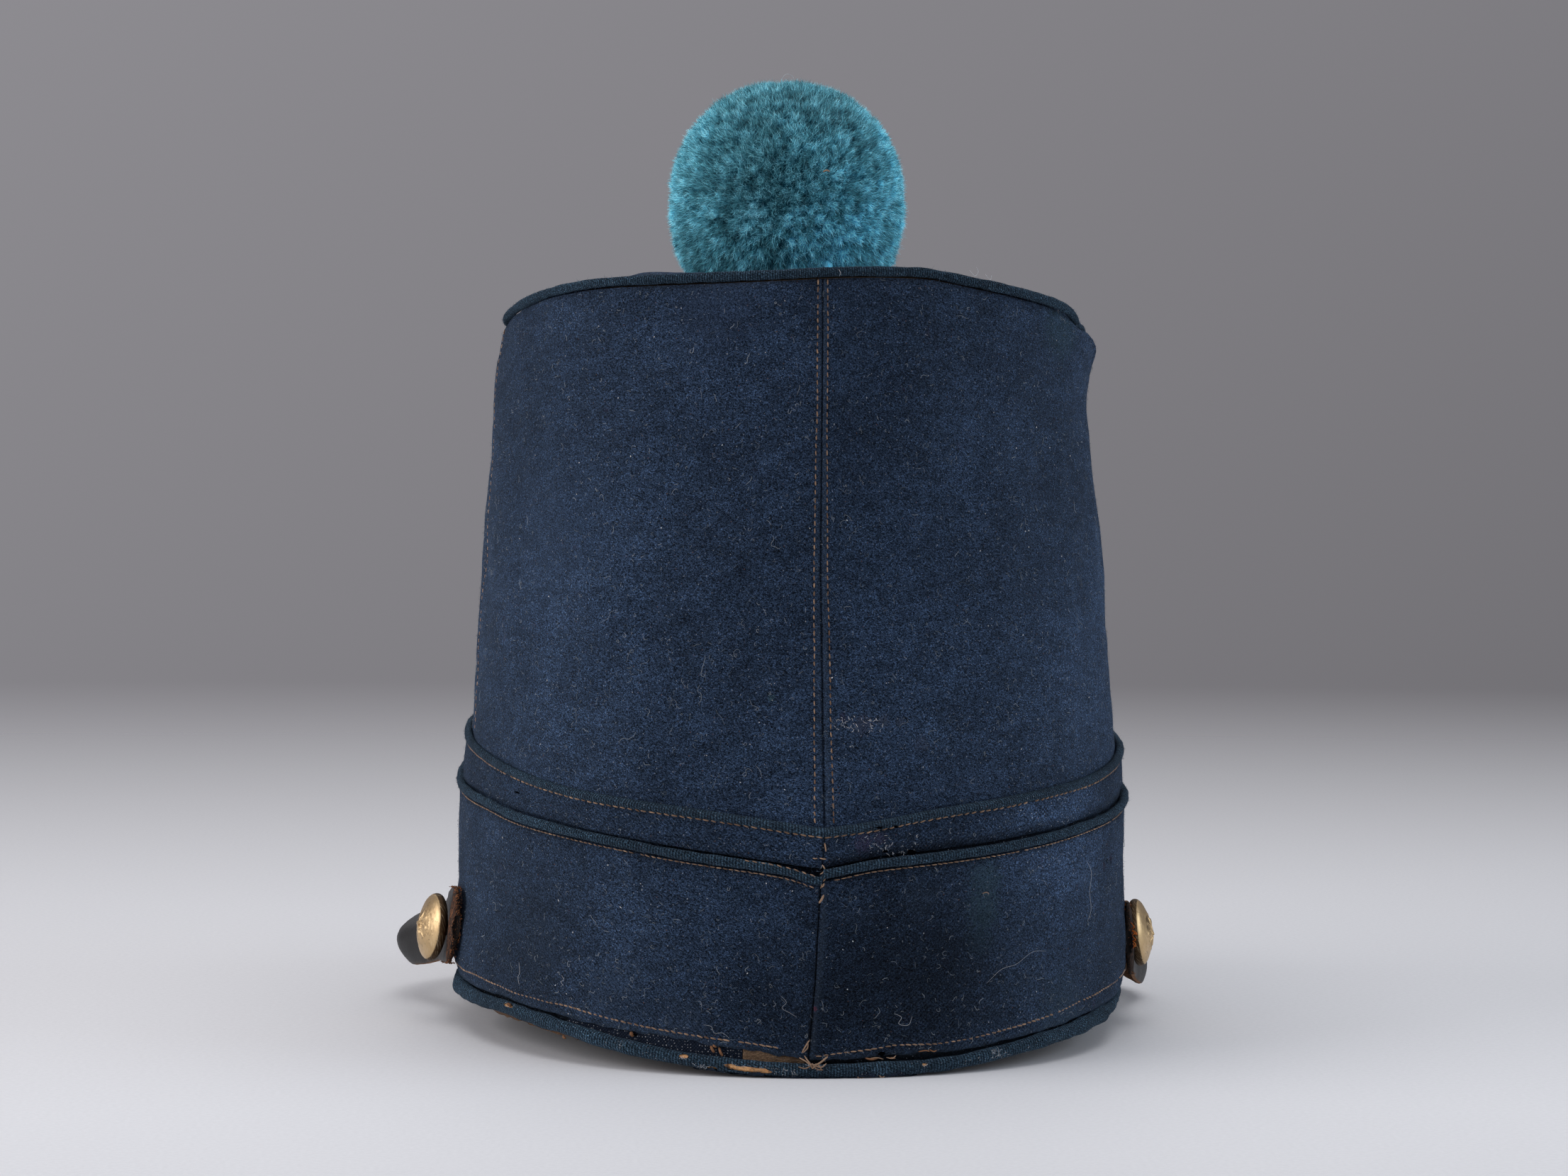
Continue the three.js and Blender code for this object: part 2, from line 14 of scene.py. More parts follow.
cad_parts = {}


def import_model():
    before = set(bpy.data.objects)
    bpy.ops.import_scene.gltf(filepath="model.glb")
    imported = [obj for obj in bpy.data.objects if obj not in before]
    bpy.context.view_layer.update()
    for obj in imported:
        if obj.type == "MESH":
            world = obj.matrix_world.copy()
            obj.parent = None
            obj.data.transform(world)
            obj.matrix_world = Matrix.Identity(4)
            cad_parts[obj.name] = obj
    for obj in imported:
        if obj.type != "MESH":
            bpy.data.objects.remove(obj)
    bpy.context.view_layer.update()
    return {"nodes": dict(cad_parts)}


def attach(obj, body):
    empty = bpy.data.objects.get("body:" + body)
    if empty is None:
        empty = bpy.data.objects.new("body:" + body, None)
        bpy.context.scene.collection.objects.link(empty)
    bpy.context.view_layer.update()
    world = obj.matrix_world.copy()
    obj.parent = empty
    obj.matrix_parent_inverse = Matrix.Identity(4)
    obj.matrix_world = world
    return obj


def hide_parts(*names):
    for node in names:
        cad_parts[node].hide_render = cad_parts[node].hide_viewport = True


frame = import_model()

MM = 0.001
TILT = math.radians(4.5)
SHIFT = np.array([-1.688446044921875, 29.084290594642148, 10.131547034574659])

# ------------------------------------------------------------------ the tables
GAP = 0.3
SHELL_THICK = 2.4
BAND_OFF = 1.6
WELT_R, WELT_OFF = 1.1, 1.75
TOP_WELT_R, TOP_WELT_OFF = 1.15, -0.5
PIPING_R, PIPING_OFF = 1.65, 1.75
LEATHER_OFF, LEATHER_THICK, LEATHER_TOP = -3.1, 1.4, 34.0
STRAP_THICK = 1.2
POM = dict(x=-2.0, y=-76.0, z=190.3, r=31.3, rz=32.9, power=2.15)

SECTION_COLUMNS = ("z", "left", "right", "back", "front", "power")
SECTIONS = np.array([
    (-6, 82.4, 81.5, 102.4, 102.2, 2.15),
    (0, 82.2, 81.3, 101.6, 101.8, 2.15),
    (20, 81.8, 81.3, 98.6, 100.6, 2.15),
    (46, 81.3, 80.8, 94.2, 98.6, 2.2),
    (60, 80.2, 80.2, 91.6, 97.4, 2.2),
    (82, 78.9, 78.3, 87.6, 95.4, 2.15),
    (109, 77.2, 75.8, 82.8, 93.0, 2.1),
    (131, 75.8, 73.0, 78.8, 91.0, 2.05),
    (145, 74.9, 71.2, 76.3, 89.6, 2.0),
    (153, 74.3, 72.0, 74.9, 88.8, 2.0),
    (160, 73.0, 73.0, 73.6, 88.0, 2.0),
    (190, 72.0, 72.4, 68.4, 85.6, 2.0),
], float)

LINE_COLUMNS = ("angle", "rim", "welt", "band", "top", "leather")
LINES = np.array([
    (-150, 0.2, 48.8, 60.6, 157.0, 0.6),
    (-120, 0.0, 49.0, 60.2, 151.4, 0.6),
    (-90, 0.0, 49.0, 60.0, 149.4, 0.6),
    (-60, 0.0, 49.2, 60.4, 152.2, 0.6),
    (-30, 0.0, 49.5, 61.2, 158.6, 0.4),
    (0, 0.4, 49.6, 61.7, 164.4, -2.2),
    (12, 1.5, 50.3, 61.4, 168.3, -1.9),
    (24, 3.0, 50.8, 60.6, 172.2, -1.0),
    (34, 4.3, 50.1, 59.7, 175.0, 0.2),
    (46, 4.0, 49.6, 58.6, 177.4, 0.3),
    (58, 2.5, 48.7, 57.9, 178.7, -0.6),
    (70, 1.1, 47.2, 57.0, 179.7, -1.2),
    (80, 0.15, 45.8, 55.6, 180.5, -1.7),
    (90, -0.45, 43.6, 53.3, 181.3, -2.0),
    (98, -0.4, 46.1, 54.9, 181.6, -2.0),
    (108, -0.2, 47.1, 57.0, 181.4, -1.9),
    (120, 0.9, 47.9, 58.2, 179.0, -1.4),
    (132, 1.7, 48.6, 58.9, 176.2, -0.8),
    (145, 1.8, 49.1, 59.3, 172.7, -0.6),
    (160, 1.1, 49.0, 60.1, 166.9, -1.2),
    (180, 0.4, 48.8, 60.9, 162.4, -1.2),
], float)
KINK_ANGLE = 90.0

STRAP_COLUMNS = ("angle", "off", "z", "height", "bulge", "lean")
STRAP = np.array([
    (13.5, 3.5, 17.1, 17.6, 0, 6), (9, 3.6, 16.0, 19.2, 0, 6), (3, 3.7, 13.5, 18.8, 0, 6.5), (-2.5, 4.6, 10.3, 17, 0.2, 9),
    (-6, 7.4, 6.7, 14.4, 1.0, 14), (-9, 10.8, 4.0, 12.6, 2.8, 14), (-12.5, 13.9, 1.9, 11.5, 4.6, 10), (-18, 15.2, 1.5, 11.0, 5.2, 9),
    (-24, 14.9, 1.7, 11.2, 4.2, 11), (-30, 13.8, 2.2, 12.6, 1.8, 16), (-37, 11.2, 3.8, 13.5, 0.6, 16), (-47, 8.4, 7.2, 14, 0.4, 10),
    (-60, 5.8, 10, 15, 0.2, 7), (-75, 4.6, 10.9, 15.5, 0.2, 7), (-90, 4.4, 11, 15.5, 0.2, 7), (-105, 4.6, 10.9, 15.5, 0.2, 7),
    (-120, 5.6, 10.0, 15.5, 0.2, 7), (-135, 8.0, 5.8, 14, 0.4, 12), (-147, 10.6, 0.8, 13, 0.8, 20), (-156, 12.4, -2.8, 12.5, 2.2, 22),
    (-163, 13.0, -3.9, 12.5, 3.0, 20), (-168.5, 11.9, -2.4, 13, 2.8, 17), (-173, 8.8, 1.6, 15, 1.4, 13), (-177.5, 5.4, 6.8, 17, 0, 10),
    (-183, 3.9, 10.8, 18, 0, 7), (-190, 3.25, 13.0, 18, 0, 4), (-195, 3.05, 14.0, 16.5, 0, 3),
], float)

# ----------------------------------------------------------------- small maths


def curve(xs, ys, at, corner=None):
    """Smooth curve through a table, with a corner kept at one x."""
    xs, ys, at = np.asarray(xs, float), np.asarray(ys, float), np.asarray(at, float)
    n = len(xs)
    chord = np.diff(ys) / np.diff(xs)
    slope = np.zeros(n)
    a, b = chord[:-1], chord[1:]
    with np.errstate(divide="ignore", invalid="ignore"):
        slope[1:-1] = np.where(a * b <= 0, 0.0, 2 * a * b / (a + b))
    free = np.zeros(n, bool)
    free[0] = free[-1] = True
    if corner is not None:
        free |= np.abs(xs - corner) < 1e-6
    i = np.clip(np.searchsorted(xs, at, side="left") - 1, 0, n - 2)
    span = np.diff(xs)[i]
    m0 = np.where(free[i], chord[i], slope[i]) * span
    m1 = np.where(free[i + 1], chord[i], slope[i + 1]) * span
    t = np.clip((at - xs[i]) / span, 0, 1)
    return (ys[i] * (1 + 2 * t) * (1 - t) ** 2 + m0 * t * (1 - t) ** 2
            + ys[i + 1] * t * t * (3 - 2 * t) - m1 * t * t * (1 - t))


_round = np.concatenate([LINES[-3:] - [360, 0, 0, 0, 0, 0], LINES, LINES[:3] + [360, 0, 0, 0, 0, 0]])
_ga = np.linspace(-180, 180, 7201)
_LINE = {k: curve(_round[:, 0], _round[:, i + 1], _ga, KINK_ANGLE) for i, k in enumerate(LINE_COLUMNS[1:])}
_gz = np.linspace(-14, 200, 2141)
_SECT = {k: curve(SECTIONS[:, 0], SECTIONS[:, i + 1], _gz) for i, k in enumerate(SECTION_COLUMNS[1:])}


def line(key, angle):
    return np.interp(np.mod(np.asarray(angle, float) + 180, 360) - 180, _ga, _LINE[key])


def section(key, z):
    return np.interp(z, _gz, _SECT[key])


def shell(angle, z, off=0.0):
    """Points at angles and heights, off outside the shell's outer face."""
    angle, z, off = np.broadcast_arrays(np.asarray(angle, float), np.asarray(z, float), np.asarray(off, float))
    c, s = np.cos(np.radians(angle)), np.sin(np.radians(angle))
    e = 2.0 / section("power", z)
    a = np.where(c > 0, section("left", z), section("right", z)) + off
    b = np.where(s > 0, section("back", z), section("front", z)) + off
    return np.stack([a * np.sign(c) * np.abs(c) ** e, b * np.sign(s) * np.abs(s) ** e, z], -1)


def unit(v):
    return v / np.maximum(np.linalg.norm(v, axis=-1, keepdims=True), 1e-12)


def outward(angle, z):
    """Normal of the shell at angles and heights."""
    angle, z = np.broadcast_arrays(np.asarray(angle, float), np.asarray(z, float))
    da = shell(angle + 0.25, z) - shell(angle - 0.25, z)
    dz = shell(angle, z + 0.5) - shell(angle, z - 0.5)
    return unit(np.cross(da, dz))


# arc length round the cap at z = 60, 0 at the back seam, along angles -90 to 270
_wide = np.linspace(-90, 270, 7201)
_p = shell(_wide, 60.0)
_arc = np.concatenate([[0], np.cumsum(np.linalg.norm(np.diff(_p, axis=0), axis=1))])
_arc -= np.interp(90, _wide, _arc)


def arc(angle):
    return np.interp(angle, _wide, _arc)


def angle_at(s):
    return np.interp(s, _arc, _wide)


def turn_of(a):
    """The same angle between -90 and 270."""
    return np.mod(np.asarray(a, float) + 90.0, 360.0) - 90.0


def piping_off(a):
    """The piping stands out at the back and tucks under the band at the sides."""
    a = turn_of(a)
    return PIPING_OFF - 2.35 * (smooth_(13, -4, a) + smooth_(134, 172, a))


def top_off(a):
    """The top welt slips inwards where it passes the sides."""
    a = turn_of(a)
    return (TOP_WELT_OFF - 1.8 * smooth_(6, -5, a) * smooth_(-40, -20, a)
            - 2.5 * smooth_(149, 163, a) * (1 - smooth_(200, 225, a)))


def smooth_(a, b, x):
    t = np.clip((x - a) / (b - a), 0, 1)
    return t * t * (3 - 2 * t)


def world(p):
    p = np.asarray(p, float)
    c, s = math.cos(TILT), math.sin(TILT)
    return (np.stack([p[..., 0], p[..., 1] * c + p[..., 2] * s, -p[..., 1] * s + p[..., 2] * c], -1) + SHIFT) * MM


def world_dir(d):
    d = np.asarray(d, float)
    c, s = math.cos(TILT), math.sin(TILT)
    return np.stack([d[..., 0], d[..., 1] * c + d[..., 2] * s, -d[..., 1] * s + d[..., 2] * c], -1)


def smooth(a, b, x):
    t = np.clip((np.asarray(x, float) - a) / (b - a), 0, 1)
    return t * t * (3 - 2 * t)


def bell(x, w):
    return np.exp(-(np.asarray(x, float) / w) ** 2)


def waves(p, size, seed, k=20):
    """Soft noise of about unit size, with lumps of about size mm."""
    rng = np.random.default_rng(seed)
    d = unit(rng.normal(size=(k, 3)))
    f = 2 * math.pi / size * rng.uniform(0.55, 1.35, k)
    ph = rng.uniform(0, 2 * math.pi, k)
    out = np.zeros(p.shape[:-1])
    for i in range(k):
        out += np.cos((p @ (d[i] * f[i])) + ph[i])
    return out * math.sqrt(2.0 / k)


def lattice(p, size, seed):
    """Value noise in -1..1 with cells of size mm; p has 1 to 3 columns."""
    rng = np.random.default_rng(seed)
    m = 64
    table = rng.uniform(-1, 1, (m, m, m)) if p.shape[-1] == 3 else rng.uniform(-1, 1, (m * 8, m * 8))
    q = p / size
    i = np.floor(q).astype(int)
    f = q - i
    f = f * f * (3 - 2 * f)
    out = 0.0
    n = p.shape[-1]
    for corner in range(2 ** n):
        w = 1.0
        ix = []
        for a in range(n):
            bit = (corner >> a) & 1
            w = w * (f[..., a] if bit else 1 - f[..., a])
            ix.append(np.mod(i[..., a] + bit, table.shape[a]))
        out = out + w * table[tuple(ix)]
    return out


# ------------------------------------------------------------------- materials


class Graph:
    """Short calls for a material's nodes. A socket links, a plain value is set."""

    def __init__(self, name):
        self.mat = bpy.data.materials.new(name)
        self.mat.use_nodes = True
        self.nodes, self.links = self.mat.node_tree.nodes, self.mat.node_tree.links
        self.nodes.clear()
        self.out = self.nodes.new("ShaderNodeOutputMaterial")
        self.bsdf = self.nodes.new("ShaderNodeBsdfPrincipled")
        self.links.new(self.bsdf.outputs[0], self.out.inputs[0])

    def put(self, socket, value):
        if isinstance(value, bpy.types.NodeSocket):
            self.links.new(value, socket)
        elif isinstance(value, (tuple, list)) and len(value) == 3 and socket.type == "RGBA":
            socket.default_value = (*value, 1.0)
        else:
            socket.default_value = value

    def set(self, **values):
        for k, v in values.items():
            self.put(self.bsdf.inputs[k.replace("_", " ")], v)

    def uv(self):
        n = self.nodes.new("ShaderNodeUVMap")
        n.uv_map = "mm"
        return n.outputs[0]

    def place(self):
        return self.nodes.new("ShaderNodeTexCoord").outputs["Object"]

    def attr(self, name):
        n = self.nodes.new("ShaderNodeAttribute")
        n.attribute_name = name
        return n.outputs["Fac"]

    def math(self, op, a, b=0.0, c=0.0, clamp=False):
        n = self.nodes.new("ShaderNodeMath")
        n.operation = op
        n.use_clamp = clamp
        self.put(n.inputs[0], a)
        self.put(n.inputs[1], b)
        self.put(n.inputs[2], c)
        return n.outputs[0]

    def vec(self, op, a, b=(0, 0, 0)):
        n = self.nodes.new("ShaderNodeVectorMath")
        n.operation = op
        self.put(n.inputs[0], a)
        if op == "SCALE":
            self.put(n.inputs[3], b)
        else:
            self.put(n.inputs[1], b)
        return n.outputs[1] if op in ("DISTANCE", "LENGTH", "DOT_PRODUCT") else n.outputs[0]

    def split(self, v):
        n = self.nodes.new("ShaderNodeSeparateXYZ")
        self.put(n.inputs[0], v)
        return n.outputs

    def join(self, x, y, z=0.0):
        n = self.nodes.new("ShaderNodeCombineXYZ")
        for s, v in zip(n.inputs, (x, y, z)):
            self.put(s, v)
        return n.outputs[0]

    def turned(self, v, degrees, stretch):
        """v turned in its plane, then scaled per axis."""
        n = self.nodes.new("ShaderNodeMapping")
        n.vector_type = "TEXTURE"
        self.put(n.inputs[0], v)
        n.inputs["Rotation"].default_value = (0, 0, math.radians(degrees))
        n.inputs["Scale"].default_value = (1 / stretch[0], 1 / stretch[1], 1.0)
        return n.outputs[0]

    def noise(self, v, scale, detail=2.0, rough=0.5, warp=0.0, dims="3D"):
        n = self.nodes.new("ShaderNodeTexNoise")
        n.noise_dimensions = dims
        self.put(n.inputs["Vector"], v)
        n.inputs["Scale"].default_value = scale
        n.inputs["Detail"].default_value = detail
        n.inputs["Roughness"].default_value = rough
        n.inputs["Distortion"].default_value = warp
        return n.outputs[0]

    def cells(self, v, scale, feature="F1", dims="3D", jitter=1.0):
        n = self.nodes.new("ShaderNodeTexVoronoi")
        n.voronoi_dimensions = dims
        n.feature = feature
        self.put(n.inputs["Vector"], v)
        n.inputs["Scale"].default_value = scale
        n.inputs["Randomness"].default_value = jitter
        return n

    def range(self, v, a, b, lo=0.0, hi=1.0, kind="SMOOTHSTEP"):
        n = self.nodes.new("ShaderNodeMapRange")
        n.interpolation_type = kind
        self.put(n.inputs[0], v)
        for i, x in ((1, a), (2, b), (3, lo), (4, hi)):
            self.put(n.inputs[i], x)
        return n.outputs[0]

    def mix(self, fac, a, b, blend="MIX"):
        n = self.nodes.new("ShaderNodeMix")
        n.data_type = "RGBA"
        n.blend_type = blend
        n.clamp_factor = True
        self.put(n.inputs[0], fac)
        self.put(n.inputs[6], a)
        self.put(n.inputs[7], b)
        return n.outputs[2]

    def scaled(self, colour, value):
        return self.vec("SCALE", colour, value)

    def bump(self, height, depth_mm, strength=1.0, normal=None):
        n = self.nodes.new("ShaderNodeBump")
        n.inputs["Strength"].default_value = strength
        n.inputs["Distance"].default_value = depth_mm * MM
        self.put(n.inputs["Height"], height)
        if normal is not None:
            self.put(n.inputs["Normal"], normal)
        return n.outputs[0]


def cloth(name, deep, pale, weave=0.25, fleck=0.55, wear_colour=(0.070, 0.105, 0.160), spots=(), rib=0.0, gain=1.0, shade=(), low_weave=0.0):
    """Milled wool cloth: fine nap, faint weave, pale fibres and specks, worn edges."""
    g = Graph(name)
    uv, p = g.uv(), g.place()
    wear = g.attr("wear")
    broad = g.noise(p, 26, 3, 0.55)
    patch = g.noise(g.turned(uv, 3, (0.55, 1.0)), 0.17, 4, 0.62, 0.4, "2D")
    nap = g.noise(g.turned(uv, 24, (1.0, 1.5)), 3.0, 3, 0.80, 0.8, "2D")
    tuft = g.noise(g.turned(uv, -20, (1.0, 1.6)), 1.8, 3, 0.78, 0.8, "2D")
    hair = g.noise(g.turned(uv, -38, (0.8, 3.6)), 1.5, 2, 0.6, 1.2, "2D")
    hair2 = g.noise(g.turned(uv, 47, (0.7, 3.9)), 1.35, 2, 0.6, 1.2, "2D")
    # the weave under the nap, a thread every 0.55 mm
    x, y, _ = g.split(uv)
    wx = g.math("SINE", g.math("MULTIPLY", x, 2 * math.pi / 1.1))
    wy = g.math("SINE", g.math("MULTIPLY", y, 2 * math.pi / 1.0))
    plain = g.math("MULTIPLY_ADD", g.math("MULTIPLY", wx, wy), 0.5, 0.5)
    worn = g.range(g.math("ADD", g.math("MULTIPLY", patch, 0.9), g.math("MULTIPLY", wear, 0.35)), 0.55, 0.8)
    seen = g.math("MULTIPLY", g.math("MULTIPLY_ADD", worn, 0.75, 0.25), weave)
    if low_weave:
        seen = g.math("MULTIPLY", seen, g.range(y, 20.0, 6.0, 1.0, low_weave))
    clot = g.noise(g.turned(uv, 11, (1.0, 1.5)), 0.42, 3, 0.7, 1.0, "2D")
    base = g.mix(g.range(nap, 0.40, 0.61), tuple(k * c for k, c in zip((0.15, 0.24, 0.34), deep)), tuple(1.90 * k * c for k, c in zip((1.06, 1.0, 0.93), pale)))
    base = g.scaled(base, g.range(tuft, 0.41, 0.61, 0.20, 2.08))
    base = g.scaled(base, g.range(clot, 0.36, 0.66, 0.70, 1.32))
    base = g.mix(g.math("MULTIPLY", g.range(hair, 0.60, 0.69), fleck), base, tuple(1.9 * c + k for c, k in zip(pale, (0.018, 0.026, 0.040))))
    base = g.mix(g.math("MULTIPLY", g.range(hair2, 0.61, 0.70), fleck * 0.85), base, tuple(1.8 * c + k for c, k in zip(pale, (0.015, 0.023, 0.036))))
    base = g.mix(g.math("MULTIPLY", g.math("SUBTRACT", 1.0, plain), seen), base, tuple(0.35 * c for c in deep))
    tone = g.math("MULTIPLY", g.range(broad, 0.3, 0.72, 0.82, 1.22), g.range(patch, 0.3, 0.75, 0.84, 1.22))
    base = g.scaled(base, g.math("MULTIPLY", tone, gain))
    base = g.mix(g.math("MULTIPLY", g.math("MAXIMUM", wear, 0.0, clamp=True), g.range(nap, 0.25, 0.75, 0.35, 0.95)), base, wear_colour)
    # negative wear darkens the cloth: painted shade in seam and stitch grooves, beside the welts and behind the bands
    base = g.mix(g.math("MULTIPLY", wear, -1.0, clamp=True), base, tuple(0.16 * c for c in deep))
    # pale specks of lint and dust, few and small, and some brown and purple ones
    c1 = g.cells(uv, 0.52, dims="2D")
    near = g.math("ADD", c1.outputs["Distance"], g.math("MULTIPLY", g.math("SUBTRACT", g.noise(uv, 4.0, 1, dims="2D"), 0.5), 0.06))
    r1, r2, r3 = g.split(c1.outputs["Color"])
    size = g.range(r1, 0.0, 1.0, 0.016, 0.070, "LINEAR")
    dot = g.math("MULTIPLY", g.math("LESS_THAN", near, size), g.math("GREATER_THAN", r2, 0.30))
    base = g.mix(g.math("MULTIPLY", dot, 0.85), base, g.mix(g.math("GREATER_THAN", r3, 0.86), (0.36, 0.40, 0.46), (0.20, 0.11, 0.08)))
    c2 = g.cells(g.turned(uv, 31, (1.0, 2.4)), 1.25, dims="2D")
    q1, q2, _ = g.split(c2.outputs["Color"])
    dash = g.math("MULTIPLY", g.math("LESS_THAN", c2.outputs["Distance"], g.range(q1, 0, 1, 0.03, 0.13, "LINEAR")), g.math("GREATER_THAN", q2, 0.45))
    base = g.mix(g.math("MULTIPLY", dash, 0.55), base, (0.17, 0.21, 0.27))
    purple = g.range(g.noise(g.vec("ADD", p, (0.4, 0.1, 0.7)), 160, 3, 0.7), 0.66, 0.78)
    base = g.mix(g.math("MULTIPLY", purple, 0.28), base, (0.060, 0.030, 0.060))
    for (px, py, pz), radius, colour, amount in spots:
        away = g.math("MULTIPLY", g.vec("DISTANCE", p, (px, py, pz)), 1.0 / (radius * MM))
        ragged = g.math("MULTIPLY_ADD", g.math("SUBTRACT", g.noise(uv, 1.1, 3, 0.7, dims="2D"), 0.5), 1.9, away)
        base = g.mix(g.math("MULTIPLY", g.range(ragged, 1.05, 0.45), g.math("MULTIPLY", g.range(nap, 0.42, 0.60), amount)), base, tuple(1.25 * c for c in colour))
    # painted light and shade: the colour is scaled up or down round given points
    for (px, py, pz), radius, factor in shade:
        away = g.math("MULTIPLY", g.vec("DISTANCE", p, (px, py, pz)), 1.0 / (radius * MM))
        base = g.scaled(base, g.range(away, 1.25, 0.25, 1.0, factor))
    g.set(Roughness=0.95, Specular_IOR_Level=0.05, Sheen_Weight=0.12, Sheen_Roughness=0.32)
    g.bsdf.inputs["Sheen Tint"].default_value = (0.62, 0.78, 1.0, 1.0)
    relief = g.math("ADD", g.math("MULTIPLY_ADD", tuft, 0.7, g.math("MULTIPLY", nap, 0.8)), g.math("ADD", g.math("MULTIPLY", hair, 0.35), g.math("MULTIPLY", hair2, 0.35)))
    n1 = g.bump(relief, 0.46, 0.9)
    n2 = g.bump(g.math("MULTIPLY", plain, seen), 0.18, 0.8, n1)
    if rib:
        ribs = g.math("SINE", g.math("MULTIPLY", x, 2 * math.pi / 0.68))
        rows = g.math("SINE", g.math("MULTIPLY_ADD", y, 2 * math.pi / 0.76, g.math("MULTIPLY", x, 2 * math.pi / 1.36)))
        weft = g.math("MULTIPLY_ADD", g.math("ADD", ribs, g.math("MULTIPLY", rows, 0.55)), 0.32, 0.5)
        n2 = g.bump(weft, 0.24, rib, n2)
        base = g.mix(g.math("MULTIPLY", g.range(weft, 0.85, 0.15), 0.80), base, tuple(0.30 * c for c in deep))
    g.set(Base_Color=base, Normal=n2)
    return g.mat


NAVY, NAVY_PALE = (0.0072, 0.0138, 0.0290), (0.0285, 0.0520, 0.1020)
TEAL, TEAL_PALE = (0.0085, 0.0185, 0.0340), (0.040, 0.080, 0.126)


def spot(angle, z, off, radius, colour, amount):
    return (tuple(float(v) for v in world(shell(angle, z, off))), radius, colour, amount)


def painted_light_patch(angle, z, off, radius, factor):
    """A place where the cloth's colour is scaled darker or lighter, mostly as painted light and shade."""
    return (tuple(float(v) for v in world(shell(angle, z, off))), radius, factor)


PURPLE, LILAC, GREENISH = (0.052, 0.034, 0.075), (0.16, 0.15, 0.24), (0.030, 0.110, 0.100)
crown_cloth = cloth("cloth_crown", NAVY, NAVY_PALE, spots=[
    spot(96.2, 77.3, 0, 2.6, (0.075, 0.085, 0.135), 0.8), spot(99.5, 77.9, 0, 1.7, (0.075, 0.090, 0.130), 0.7), spot(102.2, 77.8, 0, 1.3, (0.070, 0.085, 0.130), 0.6),
    spot(83.0, 83.2, 0, 1.1, (0.055, 0.115, 0.125), 0.8), spot(105.7, 72.5, 0, 2.4, (0.060, 0.070, 0.110), 0.5), spot(93.2, 79.0, 0, 1.2, PURPLE, 0.6),
    spot(70.0, 172.0, 0, 13.0, (0.045, 0.070, 0.130), 0.45), spot(40.0, 120.0, 0, 24.0, (0.040, 0.066, 0.118), 0.35),
    spot(146.0, 166.0, 0, 9.0, (0.040, 0.090, 0.098), 0.5),
# the crown is painted darker in the middle of the back (painted shade) and lighter low down at both sides (painted
# light)
], shade=[painted_light_patch(99, 76, 0, 30.0, 0.94), painted_light_patch(92, 125, 0, 38.0, 0.88), painted_light_patch(102, 162, 0, 34.0, 1.0), painted_light_patch(40, 86, 0, 46.0, 1.14), painted_light_patch(156, 84, 0, 44.0, 1.24)])
band_cloth = cloth("cloth_bands", tuple(0.94 * c for c in NAVY), tuple(0.94 * c for c in NAVY_PALE), weave=0.75, spots=[
    spot(95.6, 50.9, 1.6, 2.6, (0.062, 0.054, 0.112), 0.9), spot(98.0, 51.9, 1.6, 2.0, (0.070, 0.064, 0.120), 0.7),
    spot(97.3, 54.5, 2.0, 1.2, (0.10, 0.09, 0.03), 0.8), spot(99.4, 49.8, 1.6, 1.0, (0.10, 0.12, 0.17), 0.8),
    spot(116.2, 41.0, 1.6, 5.5, (0.048, 0.092, 0.125), 0.8), spot(115.9, 34.0, 1.6, 5.5, (0.048, 0.095, 0.125), 0.85), spot(115.2, 27.5, 1.6, 4.5, (0.042, 0.082, 0.115), 0.6), spot(43.0, 20.7, 1.6, 9.0, (0.040, 0.064, 0.110), 0.55),
    spot(57.4, 14.1, 1.6, 10.0, (0.040, 0.064, 0.110), 0.55), spot(69.4, 8.0, 1.6, 8.0, (0.040, 0.060, 0.100), 0.5),
    spot(11.0, 21.0, 1.6, 2.2, PURPLE, 0.8), spot(149.6, 37.4, 1.6, 1.2, (0.03, 0.015, 0.04), 1.0),
    spot(153.0, 38.4, 1.6, 1.2, (0.03, 0.015, 0.04), 1.0), spot(89.5, 13.6, 1.6, 0.6, (0.25, 0.06, 0.10), 0.9),
    spot(134.0, 6.0, 1.6, 12.0, (0.046, 0.080, 0.120), 0.6), spot(104.0, 38.0, 1.6, 5.0, (0.05, 0.075, 0.11), 0.3),
# the band is scaled darker low down round the back and at the left, and painted lighter on the upper band at both sides
# (painted light)
], shade=[painted_light_patch(100, 20, 1.6, 27.0, 0.46), painted_light_patch(112, 20, 1.6, 20.0, 0.62), painted_light_patch(84, 14, 1.6, 14.0, 0.72), painted_light_patch(40, 20, 1.6, 22.0, 0.74),
          painted_light_patch(132, 55, 1.6, 24.0, 2.10), painted_light_patch(60, 30, 1.6, 16.0, 1.08), painted_light_patch(64, 52, 1.6, 22.0, 1.25)], low_weave=2.4)
welt_cloth = cloth("cloth_welts", TEAL, TEAL_PALE, weave=0.3, fleck=0.35, wear_colour=(0.062, 0.108, 0.165), rib=1.0, gain=1.3)
fold_cloth = cloth("cloth_band_fold", TEAL, TEAL_PALE, weave=0.3, fleck=0.4, rib=0.9, gain=1.15)
piping_cloth = cloth("cloth_piping", TEAL, TEAL_PALE, weave=0.6, fleck=0.5, wear_colour=(0.075, 0.125, 0.165), rib=0.9, gain=1.25)
top_cloth = cloth("cloth_top", NAVY, NAVY_PALE)
# the torn hem is the navy cloth painted darker: painted shade under the piping
shaded_hem_cloth = cloth("cloth_hem", tuple(0.6 * c for c in NAVY), tuple(0.45 * c for c in NAVY_PALE), weave=0.8)


